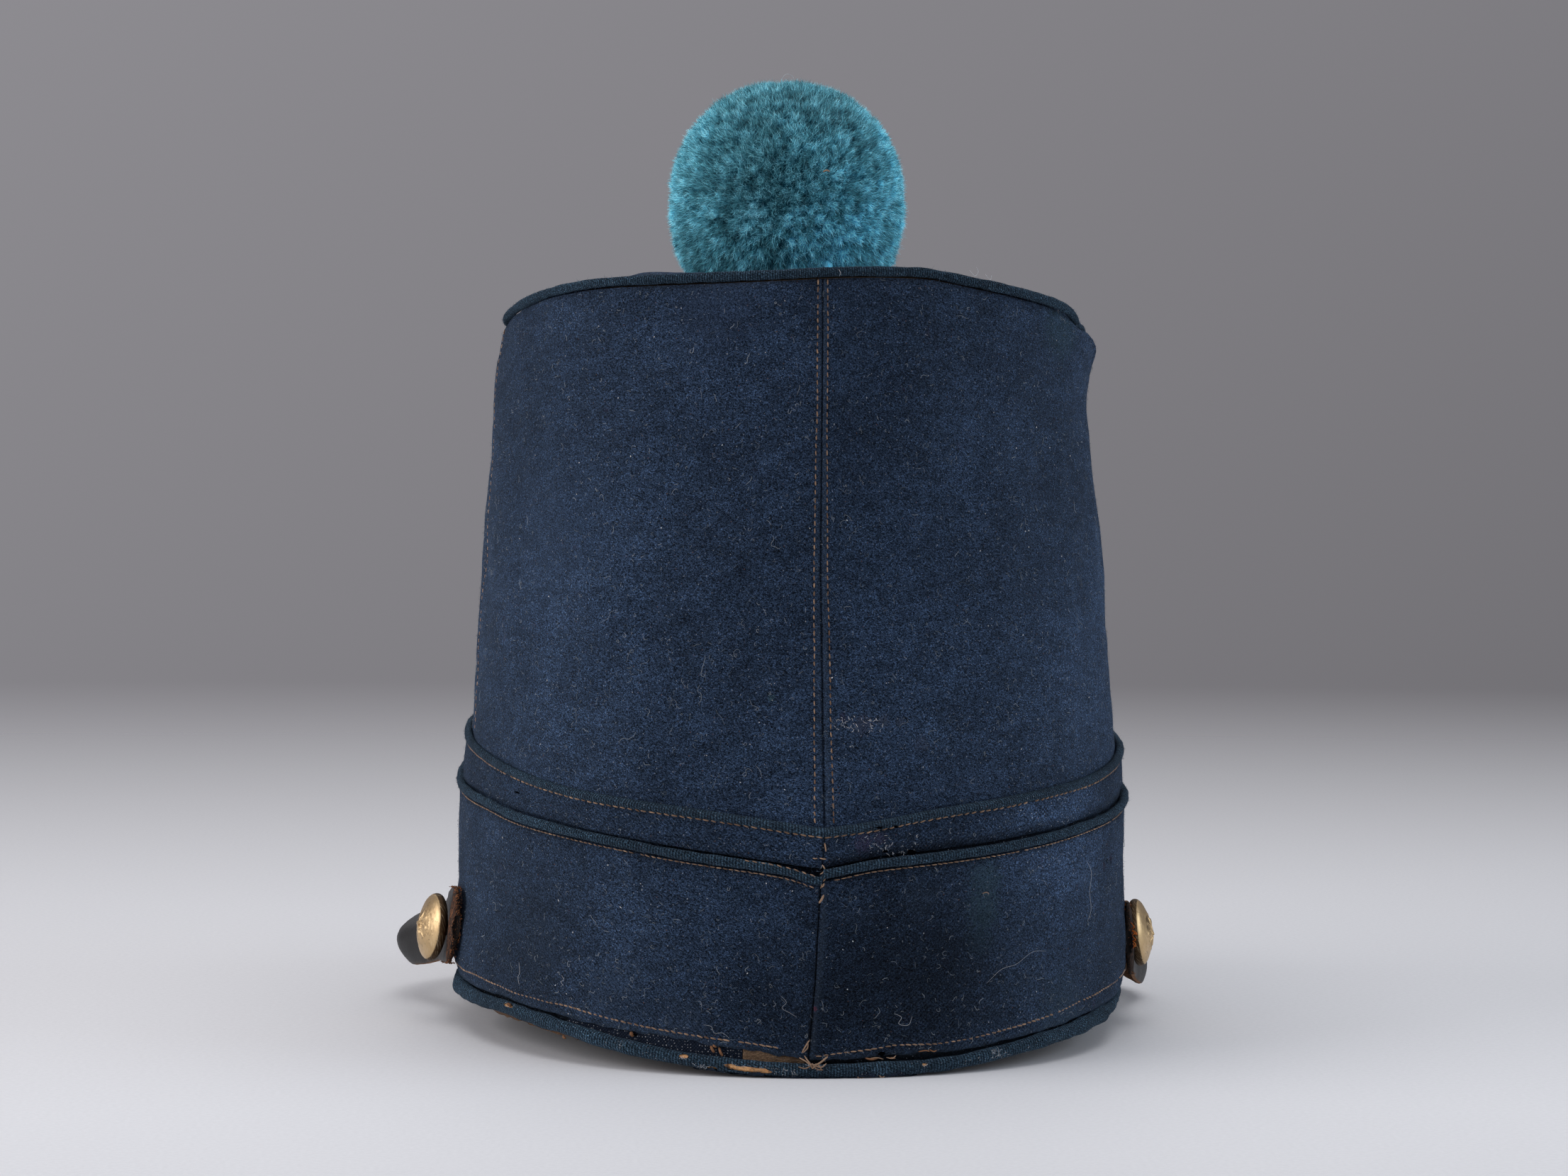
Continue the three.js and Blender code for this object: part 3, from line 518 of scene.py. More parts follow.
def lining():
    g = Graph("shell_lining")
    uv, p = g.uv(), g.place()
    x, y, _ = g.split(uv)
    wx = g.math("SINE", g.math("MULTIPLY", x, 2 * math.pi / 0.9))
    wy = g.math("SINE", g.math("MULTIPLY", y, 2 * math.pi / 0.9))
    plain = g.math("MULTIPLY_ADD", g.math("MULTIPLY", wx, wy), 0.5, 0.5)
    stain = g.noise(p, 30, 4, 0.6)
    base = g.mix(g.range(stain, 0.35, 0.7), (0.075, 0.048, 0.026), (0.16, 0.115, 0.070))
    base = g.mix(g.math("MULTIPLY", plain, 0.5), base, (0.045, 0.028, 0.016))
    base = g.mix(g.range(g.noise(uv, 0.9, 4, 0.7, dims="2D"), 0.55, 0.8), base, (0.030, 0.020, 0.013))
    g.set(Base_Color=base, Roughness=0.95, Specular_IOR_Level=0.12, Normal=g.bump(plain, 0.15, 0.7, g.bump(stain, 0.5, 0.3)))
    return g.mat


def raw_leather(name, a, b, rough=0.78, span=(0.35, 0.7)):
    g = Graph(name)
    uv, p = g.uv(), g.place()
    fibre = g.noise(g.turned(uv, 8, (0.5, 3.0)), 1.3, 4, 0.7, 0.8, "2D")
    grain = g.cells(uv, 1.5, "DISTANCE_TO_EDGE", "2D").outputs["Distance"]
    stain = g.noise(p, 60, 4, 0.65, 0.5)
    base = g.mix(g.range(fibre, *span), a, b)
    base = g.mix(g.range(stain, 0.5, 0.78), base, tuple(0.25 * c for c in a))
    base = g.mix(g.math("MULTIPLY", g.range(grain, 0.10, 0.0), 0.6), base, tuple(0.3 * c for c in a))
    g.set(Base_Color=base, Roughness=g.range(stain, 0.3, 0.8, rough - 0.15, rough + 0.12), Specular_IOR_Level=0.3,
          Normal=g.bump(grain, 0.12, 0.5, g.bump(fibre, 0.25, 0.6)))
    return g.mat


def patent(name="patent_leather"):
    """Black varnished leather, crazed, rubbed and dusty."""
    g = Graph(name)
    uv, p = g.uv(), g.place()
    craze = g.cells(g.vec("ADD", uv, g.vec("SCALE", g.nodes_noise_vec(uv, 0.8), 0.7)), 0.75, "DISTANCE_TO_EDGE", "2D").outputs["Distance"]
    line_ = g.range(craze, 0.045, 0.0)
    fine = g.noise(uv, 1.6, 4, 0.65, dims="2D")
    rub = g.noise(p, 75, 4, 0.6, 0.3)
    scuff = g.range(g.noise(g.turned(uv, 14, (0.35, 4.5)), 0.55, 3, 0.7, 0.5, "2D"), 0.57, 0.72)
    wear = g.attr("wear")
    base = g.mix(g.range(rub, 0.4, 0.75), (0.0085, 0.0083, 0.0090), (0.026, 0.025, 0.027))
    base = g.mix(g.math("MULTIPLY", line_, 0.35), base, (0.030, 0.022, 0.016))
    base = g.mix(g.math("MULTIPLY", scuff, 0.5), base, (0.055, 0.052, 0.054))
    base = g.mix(g.math("MULTIPLY", wear, g.range(fine, 0.35, 0.6), clamp=True), base, (0.115, 0.062, 0.030))
    rough = g.math("ADD", g.range(rub, 0.3, 0.8, 0.46, 0.62), g.math("MULTIPLY", g.math("ADD", scuff, line_), 0.18))
    g.set(Base_Color=base, Roughness=rough, Specular_IOR_Level=0.32, Coat_Weight=0.06, Coat_Roughness=0.35,
          Normal=g.bump(craze, 0.10, 0.25, g.bump(fine, 0.10, 0.35)))
    return g.mat


def _noise_vec(self, v, scale):
    n = self.nodes.new("ShaderNodeTexNoise")
    n.noise_dimensions = "2D"
    self.put(n.inputs["Vector"], v)
    n.inputs["Scale"].default_value = scale
    n.inputs["Detail"].default_value = 2
    return n.outputs["Color"]


Graph.nodes_noise_vec = _noise_vec


def brass():
    """Old brass: bright where handled, brown in the hollows, small scratches and pits."""
    g = Graph("aged_brass")
    uv, p = g.uv(), g.place()
    low = g.attr("low")
    tarnish = g.noise(p, 240, 4, 0.65, 0.4)
    fine = g.noise(p, 1500, 3, 0.6)
    scratch = g.range(g.noise(g.turned(uv, 20, (0.4, 9.0)), 0.6, 2, 0.6, 0.3, "2D"), 0.60, 0.68)
    specks = g.range(g.noise(p, 900, 2, 0.6), 0.60, 0.72)
    base = g.mix(g.range(tarnish, 0.35, 0.72), (0.66, 0.47, 0.255), (0.52, 0.36, 0.185))
    # brown in the relief's hollows (patina) and on the rim's side and back (painted shade)
    base = g.mix(g.range(g.math("ADD", low, g.math("MULTIPLY", g.math("SUBTRACT", tarnish, 0.5), 0.9)), 0.35, 0.85), base, (0.070, 0.042, 0.022))
    base = g.mix(g.math("MULTIPLY", scratch, 0.35), base, (0.80, 0.66, 0.45))
    base = g.mix(g.math("MULTIPLY", specks, 0.55), base, (0.13, 0.075, 0.035))
    rough = g.math("ADD", g.range(tarnish, 0.3, 0.75, 0.36, 0.43), g.math("MULTIPLY", low, 0.22))
    g.set(Base_Color=base, Metallic=1.0, Roughness=rough, Normal=g.bump(fine, 0.030, 0.5, g.bump(tarnish, 0.018, 0.3)))
    return g.mat


def thread(name, a, b, sheen=0.2):
    g = Graph(name)
    p = g.place()
    tint = g.attr("tint")
    n = g.noise(p, 1700, 2, 0.6)
    base = g.mix(g.math("MULTIPLY_ADD", g.math("SUBTRACT", n, 0.5), 0.6, tint, clamp=True), a, b)
    g.set(Base_Color=base, Roughness=0.8, Specular_IOR_Level=0.25, Sheen_Weight=sheen)
    return g.mat


def lint_mat(name, a, b):
    g = Graph(name)
    g.set(Base_Color=g.mix(g.attr("tint"), a, b), Roughness=0.8, Specular_IOR_Level=0.2)
    return g.mat


def cane_mat():
    g = Graph("cane")
    uv, p = g.uv(), g.place()
    grain = g.noise(g.turned(uv, 0, (0.25, 3.4)), 1.2, 4, 0.65, 0.3, "2D")
    base = g.mix(g.range(grain, 0.35, 0.68), (0.66, 0.31, 0.115), (0.93, 0.53, 0.24))
    base = g.mix(g.range(g.noise(p, 500, 3, 0.6), 0.56, 0.75), base, (0.16, 0.075, 0.035))
    g.set(Base_Color=base, Roughness=0.6, Specular_IOR_Level=0.35, Normal=g.bump(grain, 0.15, 0.6))
    return g.mat


def pile():
    """Soft cut wool: blue-green, with painted shade between the tufts and deep in the pile, and pale at the tips."""
    g = Graph("wool_pile")
    tip, tone = g.attr("tip"), g.attr("tone")
    p = g.place()
    n = g.noise(p, 900, 2, 0.6)
    # tip runs from 0 deep in the pile to 1 at high tips; the dark-to-pale mix along it is painted shade
    base = g.mix(g.range(tip, 0.0, 1.0, 0.0, 1.0, "LINEAR"), (0.007, 0.068, 0.106), (0.195, 0.690, 0.820))
    # the highest tips are mixed paler still: painted highlight
    base = g.mix(g.math("MULTIPLY", g.math("MULTIPLY", tip, tip), g.range(tone, 0.45, 1.0, 0.0, 0.75)), base, (0.600, 0.900, 0.960))
    # the wool is lightened where the ball is lit more: painted light
    base = g.scaled(base, g.math("MULTIPLY", g.range(tone, 0.0, 1.0, 0.30, 1.78, "LINEAR"), g.math("ADD", g.attr("pile_painted_light"), 1.0)))
    base = g.mix(g.math("MULTIPLY", g.range(n, 0.6, 0.75), 0.20), base, (0.02, 0.12, 0.17))
    g.set(Base_Color=base, Roughness=0.9, Specular_IOR_Level=0.08, Sheen_Weight=0.45, Sheen_Roughness=0.4)
    g.bsdf.inputs["Sheen Tint"].default_value = (0.55, 0.90, 1.0, 1.0)
    return g.mat


def fuzz():
    """Loose fibre ends that stand off the cloth."""
    g = Graph("cloth_fuzz")
    tint = g.attr("tint")
    base = g.mix(tint, (0.014, 0.027, 0.052), (0.115, 0.165, 0.235))
    g.set(Base_Color=base, Roughness=0.9, Specular_IOR_Level=0.05)
    return g.mat


def under():
    """The thin dark cloth under the band, woven with pale dots."""
    g = Graph("under_cloth")
    uv = g.uv()
    x, y, _ = g.split(uv)
    wx = g.math("SINE", g.math("MULTIPLY", x, 2 * math.pi / 0.75))
    wy = g.math("SINE", g.math("MULTIPLY", y, 2 * math.pi / 0.75))
    plain = g.math("MULTIPLY_ADD", g.math("MULTIPLY", wx, wy), 0.5, 0.5)
    c = g.cells(uv, 1.55, dims="2D", jitter=0.55)
    r1, r2, _ = g.split(c.outputs["Color"])
    dot = g.math("MULTIPLY", g.math("LESS_THAN", c.outputs["Distance"], g.range(r1, 0, 1, 0.10, 0.22, "LINEAR")), g.math("GREATER_THAN", r2, 0.48))
    base = g.mix(plain, (0.006, 0.009, 0.016), (0.020, 0.028, 0.048))
    base = g.mix(g.math("MULTIPLY", dot, 0.9), base, (0.34, 0.35, 0.37))
    g.set(Base_Color=base, Roughness=0.95, Specular_IOR_Level=0.05, Normal=g.bump(plain, 0.2, 0.8))
    return g.mat


# near-black for the insides of small holes in the cloth: painted shade
def hole_shade():
    g = Graph("hole_painted_shade")
    g.set(Base_Color=(0.0012, 0.0012, 0.0016), Roughness=1.0, Specular_IOR_Level=0.0)
    return g.mat


hole_shade_mat = hole_shade()
under_mat = under()
lining_mat = lining()
sweat_leather = raw_leather("sweatband_leather", (0.115, 0.058, 0.026), (0.24, 0.135, 0.068))
raw_edge = raw_leather("raw_leather_edge", (0.20, 0.090, 0.042), (0.42, 0.230, 0.120), 0.88)
cut_leather = raw_leather("cut_leather", (0.010, 0.007, 0.006), (0.40, 0.145, 0.048), 0.94, (0.49, 0.68))
# the cut leather painted darker for the strap's right end: painted shade
shaded_cut_leather = raw_leather("cut_leather_painted_shade", (0.006, 0.005, 0.005), (0.095, 0.045, 0.024), 0.94, (0.42, 0.70))
felt_mat = raw_leather("felt_strip", (0.130, 0.078, 0.044), (0.380, 0.250, 0.150), 0.92)
patent_mat = patent()
brass_mat = brass()
stitch_mat = thread("stitch_thread", (0.120, 0.068, 0.042), (0.43, 0.280, 0.180))
dark_thread = thread("dark_thread", (0.010, 0.012, 0.018), (0.05, 0.035, 0.03))
lint_pale = lint_mat("lint_pale", (0.070, 0.095, 0.125), (0.32, 0.36, 0.40))
fray_leather = lint_mat("leather_frays", (0.016, 0.009, 0.007), (0.34, 0.13, 0.050))
orange_thread = lint_mat("orange_thread", (0.40, 0.085, 0.012), (0.75, 0.22, 0.04))
lint_white = lint_mat("lint_white", (0.30, 0.33, 0.37), (0.72, 0.73, 0.75))
lint_warm = lint_mat("lint_warm", (0.20, 0.09, 0.045), (0.50, 0.26, 0.12))
cane_surface = cane_mat()
pile_mat = pile()
fuzz_mat = fuzz()

# ---------------------------------------------------------------------- meshes


def make(name, verts, faces, mats, replaces=(), uv=None, face_mat=None, attrs=None, normals=None, flat=False, local=False):
    """One mesh object from arrays. faces is (n, 3) or (n, 4); a fourth corner of -1
    makes a triangle. uv is per corner."""
    me = bpy.data.meshes.new(name)
    v = (verts if local else world(verts)).astype(np.float32)
    faces = np.asarray(faces)
    if faces.shape[1] == 4 and (faces[:, 3] < 0).any():
        keep = faces >= 0
        loops = faces[keep]
        total = keep.sum(1)
    else:
        loops = faces.ravel()
        total = np.full(len(faces), faces.shape[1])
    me.vertices.add(len(v))
    me.vertices.foreach_set("co", v.ravel())
    me.loops.add(len(loops))
    me.loops.foreach_set("vertex_index", loops.astype(np.int32))
    me.polygons.add(len(faces))
    start = np.concatenate([[0], np.cumsum(total)[:-1]])
    me.polygons.foreach_set("loop_start", start.astype(np.int32))
    me.polygons.foreach_set("loop_total", total.astype(np.int32))
    me.polygons.foreach_set("use_smooth", np.full(len(faces), not flat))
    if face_mat is not None:
        me.polygons.foreach_set("material_index", np.asarray(face_mat, np.int32))
    if uv is not None:
        me.uv_layers.new(name="mm").data.foreach_set("uv", np.asarray(uv, np.float32).ravel())
    for key, values in (attrs or {}).items():
        me.attributes.new(key, "FLOAT", "POINT").data.foreach_set("value", np.asarray(values, np.float32).ravel())
    for m in mats if isinstance(mats, (list, tuple)) else [mats]:
        me.materials.append(m)
    me.update(calc_edges=True)
    me.validate()
    if normals is not None:
        me.normals_split_custom_set_from_vertices([tuple(n) for n in world_dir(normals)])
    ob = bpy.data.objects.new(name, me)
    bpy.context.scene.collection.objects.link(ob)
    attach(ob, "root")
    if replaces:
        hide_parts(*replaces)
    return ob


def grid_faces(nr, nc, close_rows=False, close_cols=False, base=0):
    r = np.arange(nr if close_rows else nr - 1)
    c = np.arange(nc if close_cols else nc - 1)
    R, C = np.meshgrid(r, c, indexing="ij")
    R2, C2 = (R + 1) % nr, (C + 1) % nc
    f = np.stack([R * nc + C, R * nc + C2, R2 * nc + C2, R2 * nc + C], -1).reshape(-1, 4)
    corners = np.stack([np.stack([R, C], -1), np.stack([R, C + 1], -1), np.stack([R + 1, C + 1], -1), np.stack([R + 1, C], -1)], 2).reshape(-1, 4, 2)
    return f + base, corners


def grid_uv(corners, u, v):
    """u over columns (one more than the columns when closed), v over rows likewise;
    either may be a full table."""
    r, c = corners[..., 0], corners[..., 1]
    uu = u[r, c] if u.ndim == 2 else u[c]
    vv = v[r, c] if v.ndim == 2 else v[r]
    return np.stack([uu, vv], -1).reshape(-1, 2)


def columns(step, dense=()):
    """Angles from -90 to 270 (the last left out), step mm apart, closer in the
    dense places (angle, half width in mm, how many times closer)."""
    s = np.linspace(_arc[0], _arc[-1], 20001)
    w = np.ones_like(s)
    for a, half, k in dense:
        w += (k - 1) * np.exp(-((s - arc(a)) / half) ** 4)
    cum = np.concatenate([[0], np.cumsum((w[1:] + w[:-1]) / 2 * np.diff(s))])
    n = int(round(cum[-1] / step))
    at = np.interp(np.linspace(0, cum[-1], n + 1)[:-1], cum, s)
    return angle_at(at)


def ring(name, rows, cols, place, mats, replaces=(), mat_of_row=None, wear=None, v_scale=None, cut=None):
    """A closed profile swept round the cap. place(angle, row table) gives points
    of shape (rows, columns, 3)."""
    P = place(cols[None, :], rows)
    nr, nc = P.shape[:2]
    f, corners = grid_faces(nr, nc, True, True)
    u = np.concatenate([arc(cols), [_arc[-1] + (arc(cols[0]) - _arc[0])]])
    mid = P[:, nc // 2]
    d = np.linalg.norm(np.diff(np.concatenate([mid, mid[:1]]), axis=0), axis=1)
    v = np.concatenate([[0], np.cumsum(d)]) if v_scale is None else v_scale
    fm = None if mat_of_row is None else np.repeat(np.asarray(mat_of_row), nc)
    uv = grid_uv(corners, u, v).reshape(-1, 4, 2)[:, ::-1]
    keep = np.ones(len(f), bool) if cut is None else ~cut.ravel()
    return make(name, P.reshape(-1, 3), f[keep][:, ::-1], mats, replaces, uv[keep].reshape(-1, 2), None if fm is None else fm[keep],
                {"wear": np.zeros(nr * nc) if wear is None else wear.ravel()})


def tube(points, radius, sides=6, taper=0.0, closed=False):
    """Vertices and faces of a tube along points (n, 3); taper shrinks both ends."""
    p = np.asarray(points, float)
    n = len(p)
    t = unit(np.gradient(p, axis=0))
    ref = np.array([0.0, 0.0, 1.0])
    if abs(t[0] @ ref) > 0.9:
        ref = np.array([1.0, 0.0, 0.0])
    nrm = np.zeros_like(p)
    v = unit(np.cross(t[0], ref))
    for i in range(n):
        v = v - t[i] * (v @ t[i])
        v = v / max(np.linalg.norm(v), 1e-9)
        nrm[i] = v
    bi = np.cross(t, nrm)
    k = np.linspace(0, 1, n)
    r = np.full(n, float(radius)) if np.isscalar(radius) else np.asarray(radius, float)
    if taper:
        r = r * (1 - taper * np.abs(2 * k - 1) ** 6)
    a = np.arange(sides) * 2 * math.pi / sides
    V = p[:, None] + r[:, None, None] * (np.cos(a)[None, :, None] * nrm[:, None] + np.sin(a)[None, :, None] * bi[:, None])
    V = V.reshape(-1, 3)
    f, _ = grid_faces(n, sides, False, True)
    V = np.concatenate([V, p[:1], p[-1:]])
    i0, i1 = len(V) - 2, len(V) - 1
    a0 = np.arange(sides)
    cap0 = np.stack([np.full(sides, i0), (a0 + 1) % sides, a0, np.full(sides, -1)], -1)
    last = (n - 1) * sides
    cap1 = np.stack([np.full(sides, i1), last + a0, last + (a0 + 1) % sides, np.full(sides, -1)], -1)
    return V, np.concatenate([f, cap0, cap1])


def spline(points, n=40):
    """Smooth open curve through a few points."""
    p = np.asarray(points, float)
    d = np.concatenate([[0], np.cumsum(np.linalg.norm(np.diff(p, axis=0), axis=1))])
    t = np.linspace(0, d[-1], n)
    slope = np.gradient(p, d, axis=0) if len(p) > 2 else np.repeat((p[1:] - p[:1]) / d[-1], 2, 0)
    i = np.clip(np.searchsorted(d, t, side="right") - 1, 0, len(p) - 2)
    h = (d[i + 1] - d[i])[:, None]
    u = ((t - d[i])[:, None]) / h
    return ((2 * u**3 - 3 * u**2 + 1) * p[i] + (u**3 - 2 * u**2 + u) * h * slope[i]
            + (-2 * u**3 + 3 * u**2) * p[i + 1] + (u**3 - u**2) * h * slope[i + 1])


def gather(parts):
    """Joins (vertices, faces) pairs; returns vertices, faces and each part's vertex count."""
    V, F, base, counts = [], [], 0, []
    for v, f in parts:
        f = np.asarray(f)
        if f.shape[1] == 3:
            f = np.concatenate([f, np.full((len(f), 1), -1)], 1)
        F.append(np.where(f >= 0, f + base, -1))
        V.append(v)
        base += len(v)
        counts.append(len(v))
    return np.concatenate(V), np.concatenate(F), counts


# ----------------------------------------------------- relief of the cloth parts
SEAM_Z = np.array([-6.0, 1.0, 20.0, 42.0, 53.0, 86.0, 113.0, 129.0, 153.0, 179.0, 190.0])
SEAM_A = np.array([88.3, 88.6, 89.5, 90.1, 90.5, 90.3, 90.1, 90.2, 90.4, 90.5, 90.5])
SIDE_SEAMS = (3.2, 176.8)


def follow(angle, z):
    """Bends the columns near the back so that one of them runs along the seam."""
    a = angle + (np.interp(z, SEAM_Z, SEAM_A) - 90.0) * bell(angle - 90.0, 9.0)
    return a


def from_seam(angle):
    """Millimetres from the back seam, for a column's own angle."""
    return arc(angle)


def row_left(z):
    return np.interp(z, [50, 120, 182], [-2.1, -1.95, -1.78])


def row_right(z):
    return np.interp(z, [50, 120, 182], [2.3, 2.0, 1.85])


def crown_relief(col, z):
    """Outward millimetres of the crown's cloth, at a column's own angle and height."""
    col, z = np.broadcast_arrays(col, z)
    q = from_seam(col)
    p = shell(col, z)
    d = 0.22 * waves(p, 34, 1) + 0.10 * waves(p, 13, 2) + 0.045 * lattice(p, 2.6, 3)
    d = d * (1 - 0.75 * bell(q, 3.0))
    d += -0.75 * bell(q, 0.22)
    d += 0.30 * bell(q - 1.0, 0.62) + 0.20 * bell(q + 1.0, 0.6)
    d += -0.20 * bell(q - row_left(z), 0.30) - 0.20 * bell(q - row_right(z), 0.30)
    side = np.stack([q / 7.0, z / 5.5], -1)
    d += 0.10 * lattice(side, 1.0, 5) * bell(np.abs(q) - 3.6, 2.8)
    for a in SIDE_SEAMS:
        s = from_seam(col) - from_seam(a)
        d += -0.50 * bell(s, 0.30) + 0.22 * bell(s - 1.0, 0.7) + 0.18 * bell(s + 1.0, 0.7) - 0.14 * bell(s - 2.0, 0.35) - 0.14 * bell(s + 2.0, 0.35)
    top = line("top", col)
    # the cloth pulls in under the top welt in small puckers
    under = top - 2.6 - z
    d += (0.16 * lattice(np.stack([q / 4.5, z * 0], -1), 1.0, 8) - 0.10) * bell(under, 4.0)
    # soft bulge and curved crease at the top right corner
    d += 0.9 * bell((col - 162) / 13.0, 1.0) * bell((z - 163) / 7.0, 1.0)
    fold = 171.0 - 0.42 * (col - 146.0) - 0.010 * np.maximum(col - 146.0, 0) ** 2
    d += (-0.75 * bell(z - fold, 1.1) + 0.45 * bell(z - fold - 2.2, 1.5)) * smooth(142, 150, col) * (1 - smooth(168, 178, col))
    # the top edge rounds in at both sides, where the welt slips inwards
    t = z - top
    round_right = smooth(147, 160, col) * (1 - smooth(200, 225, col))
    round_left = smooth(8, -3, col) * smooth(-40, -20, col)
    d -= (1.3 * round_right + 1.2 * round_left) * smooth(-6.0, -2.3, t) ** 2
    # shallow diagonal drag lines at the upper left
    d += 0.25 * bell(np.sin(np.radians(2.2 * (col * 1.6 + z * 1.15))), 0.35) * bell((z - 158) / 18, 1.0) * bell((col - 38) / 26, 1.0)
    return d


def band_wave(col, z, seed):
    p = shell(col, z)
    return 0.13 * waves(p, 27, seed) + 0.06 * waves(p, 9, seed + 1) + 0.035 * lattice(p, 2.2, seed + 2)


# ------------------------------------------------------------------------ crown
def crown_bottom(a):
    return line("rim", a) + 0.3


def crown_top_line(a):
    return line("top", a) - 2.0 * TOP_WELT_R - 0.35


dense_back = [(90, 5.5, 5.0), (SIDE_SEAMS[0], 3.2, 2.6), (SIDE_SEAMS[1], 3.2, 2.6)]
cols = columns(1.75, dense_back)
outer = np.concatenate([[0, 0.1, 0.2, 0.262], np.linspace(0.275, 1.0, 104)])
inner = np.linspace(1.0, 0.0, 12)
rows = np.concatenate([
    np.stack([outer, np.zeros_like(outer), np.ones_like(outer)], -1),
    [(1.0, -1.2, 0.0)],
    np.stack([inner, np.full_like(inner, -SHELL_THICK), np.zeros_like(inner)], -1),
    [(0.0, -1.2, 0.0)],
])


def crown_place(a, t):
    v, off, face = t[:, 0:1], t[:, 1:2], t[:, 2:3]
    z = crown_bottom(a) + v * (crown_top_line(a) - crown_bottom(a))
    ang = follow(a, z)
    d = crown_relief(np.broadcast_to(a, z.shape), z) * face * smooth(0.26, 0.30, v)
    edge = np.where(v >= 0.9999, -0.45, np.where(v > 0.985, -0.15, 0.0)) * face
    return shell(ang, z, off + d + edge)


n_out = len(outer)
z_mid = crown_bottom(cols)[None, :] + rows[:, 0:1] * (crown_top_line(cols) - crown_bottom(cols))[None, :]
q = np.broadcast_to(from_seam(cols)[None, :], z_mid.shape)
# wear: the ridges beside the back seam are lighter with wear; the seam's groove and the cloth below 50 mm, behind the
# bands, get painted shade
wear = (0.42 * bell(q - 0.9, 0.55) + 0.2 * bell(q + 0.8, 0.5)) * (rows[:, 2:3] > 0) - 0.95 * bell(q, 0.25)
wear = wear * (z_mid > 50) - 0.92 * (z_mid < 50) * (rows[:, 2:3] > 0)
mat_rows = [0] * (n_out - 1) + [0] + [1] * (len(rows) - n_out)
ring("crown_cloth", rows, cols, crown_place, [crown_cloth, lining_mat], ("crown",), mat_rows, wear)

# -------------------------------------------------------------------- crown top
TOP_EDGE = -TOP_WELT_R * 2 - 0.5
EDGE_DROP = 2.0 * TOP_WELT_R + 0.02


def top_surface(angle, rho, upper):
    z_edge = line("top", angle)
    rim = shell(angle, z_edge, TOP_EDGE)
    x, y = rim[..., 0] * rho, rim[..., 1] * rho
    plane = lambda px, py: 167.0 + 0.203 * py + 0.013 * px
    warp = (z_edge - plane(rim[..., 0], rim[..., 1])) * np.maximum(0, (rho - 0.5) / 0.5) ** 2
    z = plane(x, y) + warp - EDGE_DROP
    if upper:
        am = np.mod(angle + 180, 360) - 180
        puff = 1.6 * bell(am - 56, 16) * bell(rho - 0.88, 0.1)
        p3 = np.stack([x, y, 0 * x], -1)
        z = z + 1.6 + 2.6 * (1 - rho ** 2.4) + puff + (0.35 * waves(p3, 26, 31) + 0.16 * waves(p3, 9, 32)) * (1 - rho ** 8)
        # gathers near the edge
        z = z + 0.25 * lattice(np.stack([angle / 3.4, 0 * angle], -1), 1.0, 33) * smooth(0.72, 0.95, rho) * (1 - smooth(0.96, 1.0, rho))
    return np.stack([x, y, z], -1)


tc = columns(2.2)
up = np.concatenate([np.linspace(0.035, 0.9, 44), np.linspace(0.915, 1.0, 9)])
dn = np.concatenate([[1.0], np.linspace(0.93, 0.035, 14)])
Pu = top_surface(np.broadcast_to(tc[None], (len(up), len(tc))), up[:, None] * np.ones((1, len(tc))), True)
Pd = top_surface(np.broadcast_to(tc[None], (len(dn), len(tc))), dn[:, None] * np.ones((1, len(tc))), False)
P = np.concatenate([Pu, Pd])
P[:, :, 0] += POM["x"] * (1 - np.concatenate([up, dn]))[:, None] ** 1
P[:, :, 1] += POM["y"] * (1 - np.concatenate([up, dn]))[:, None] ** 3 * 0
f, corners = grid_faces(len(P), len(tc), True, True)
uv = P.reshape(-1, 3)[f.ravel()][:, :2]
make("crown_top_cloth", P.reshape(-1, 3), f, [top_cloth, lining_mat], ("crown_top",), uv,
     np.repeat([0] * len(up) + [1] * len(dn), len(tc)), {"wear": 0.25 * np.repeat(np.concatenate([smooth(0.9, 0.97, up), 0 * dn]), len(tc))})


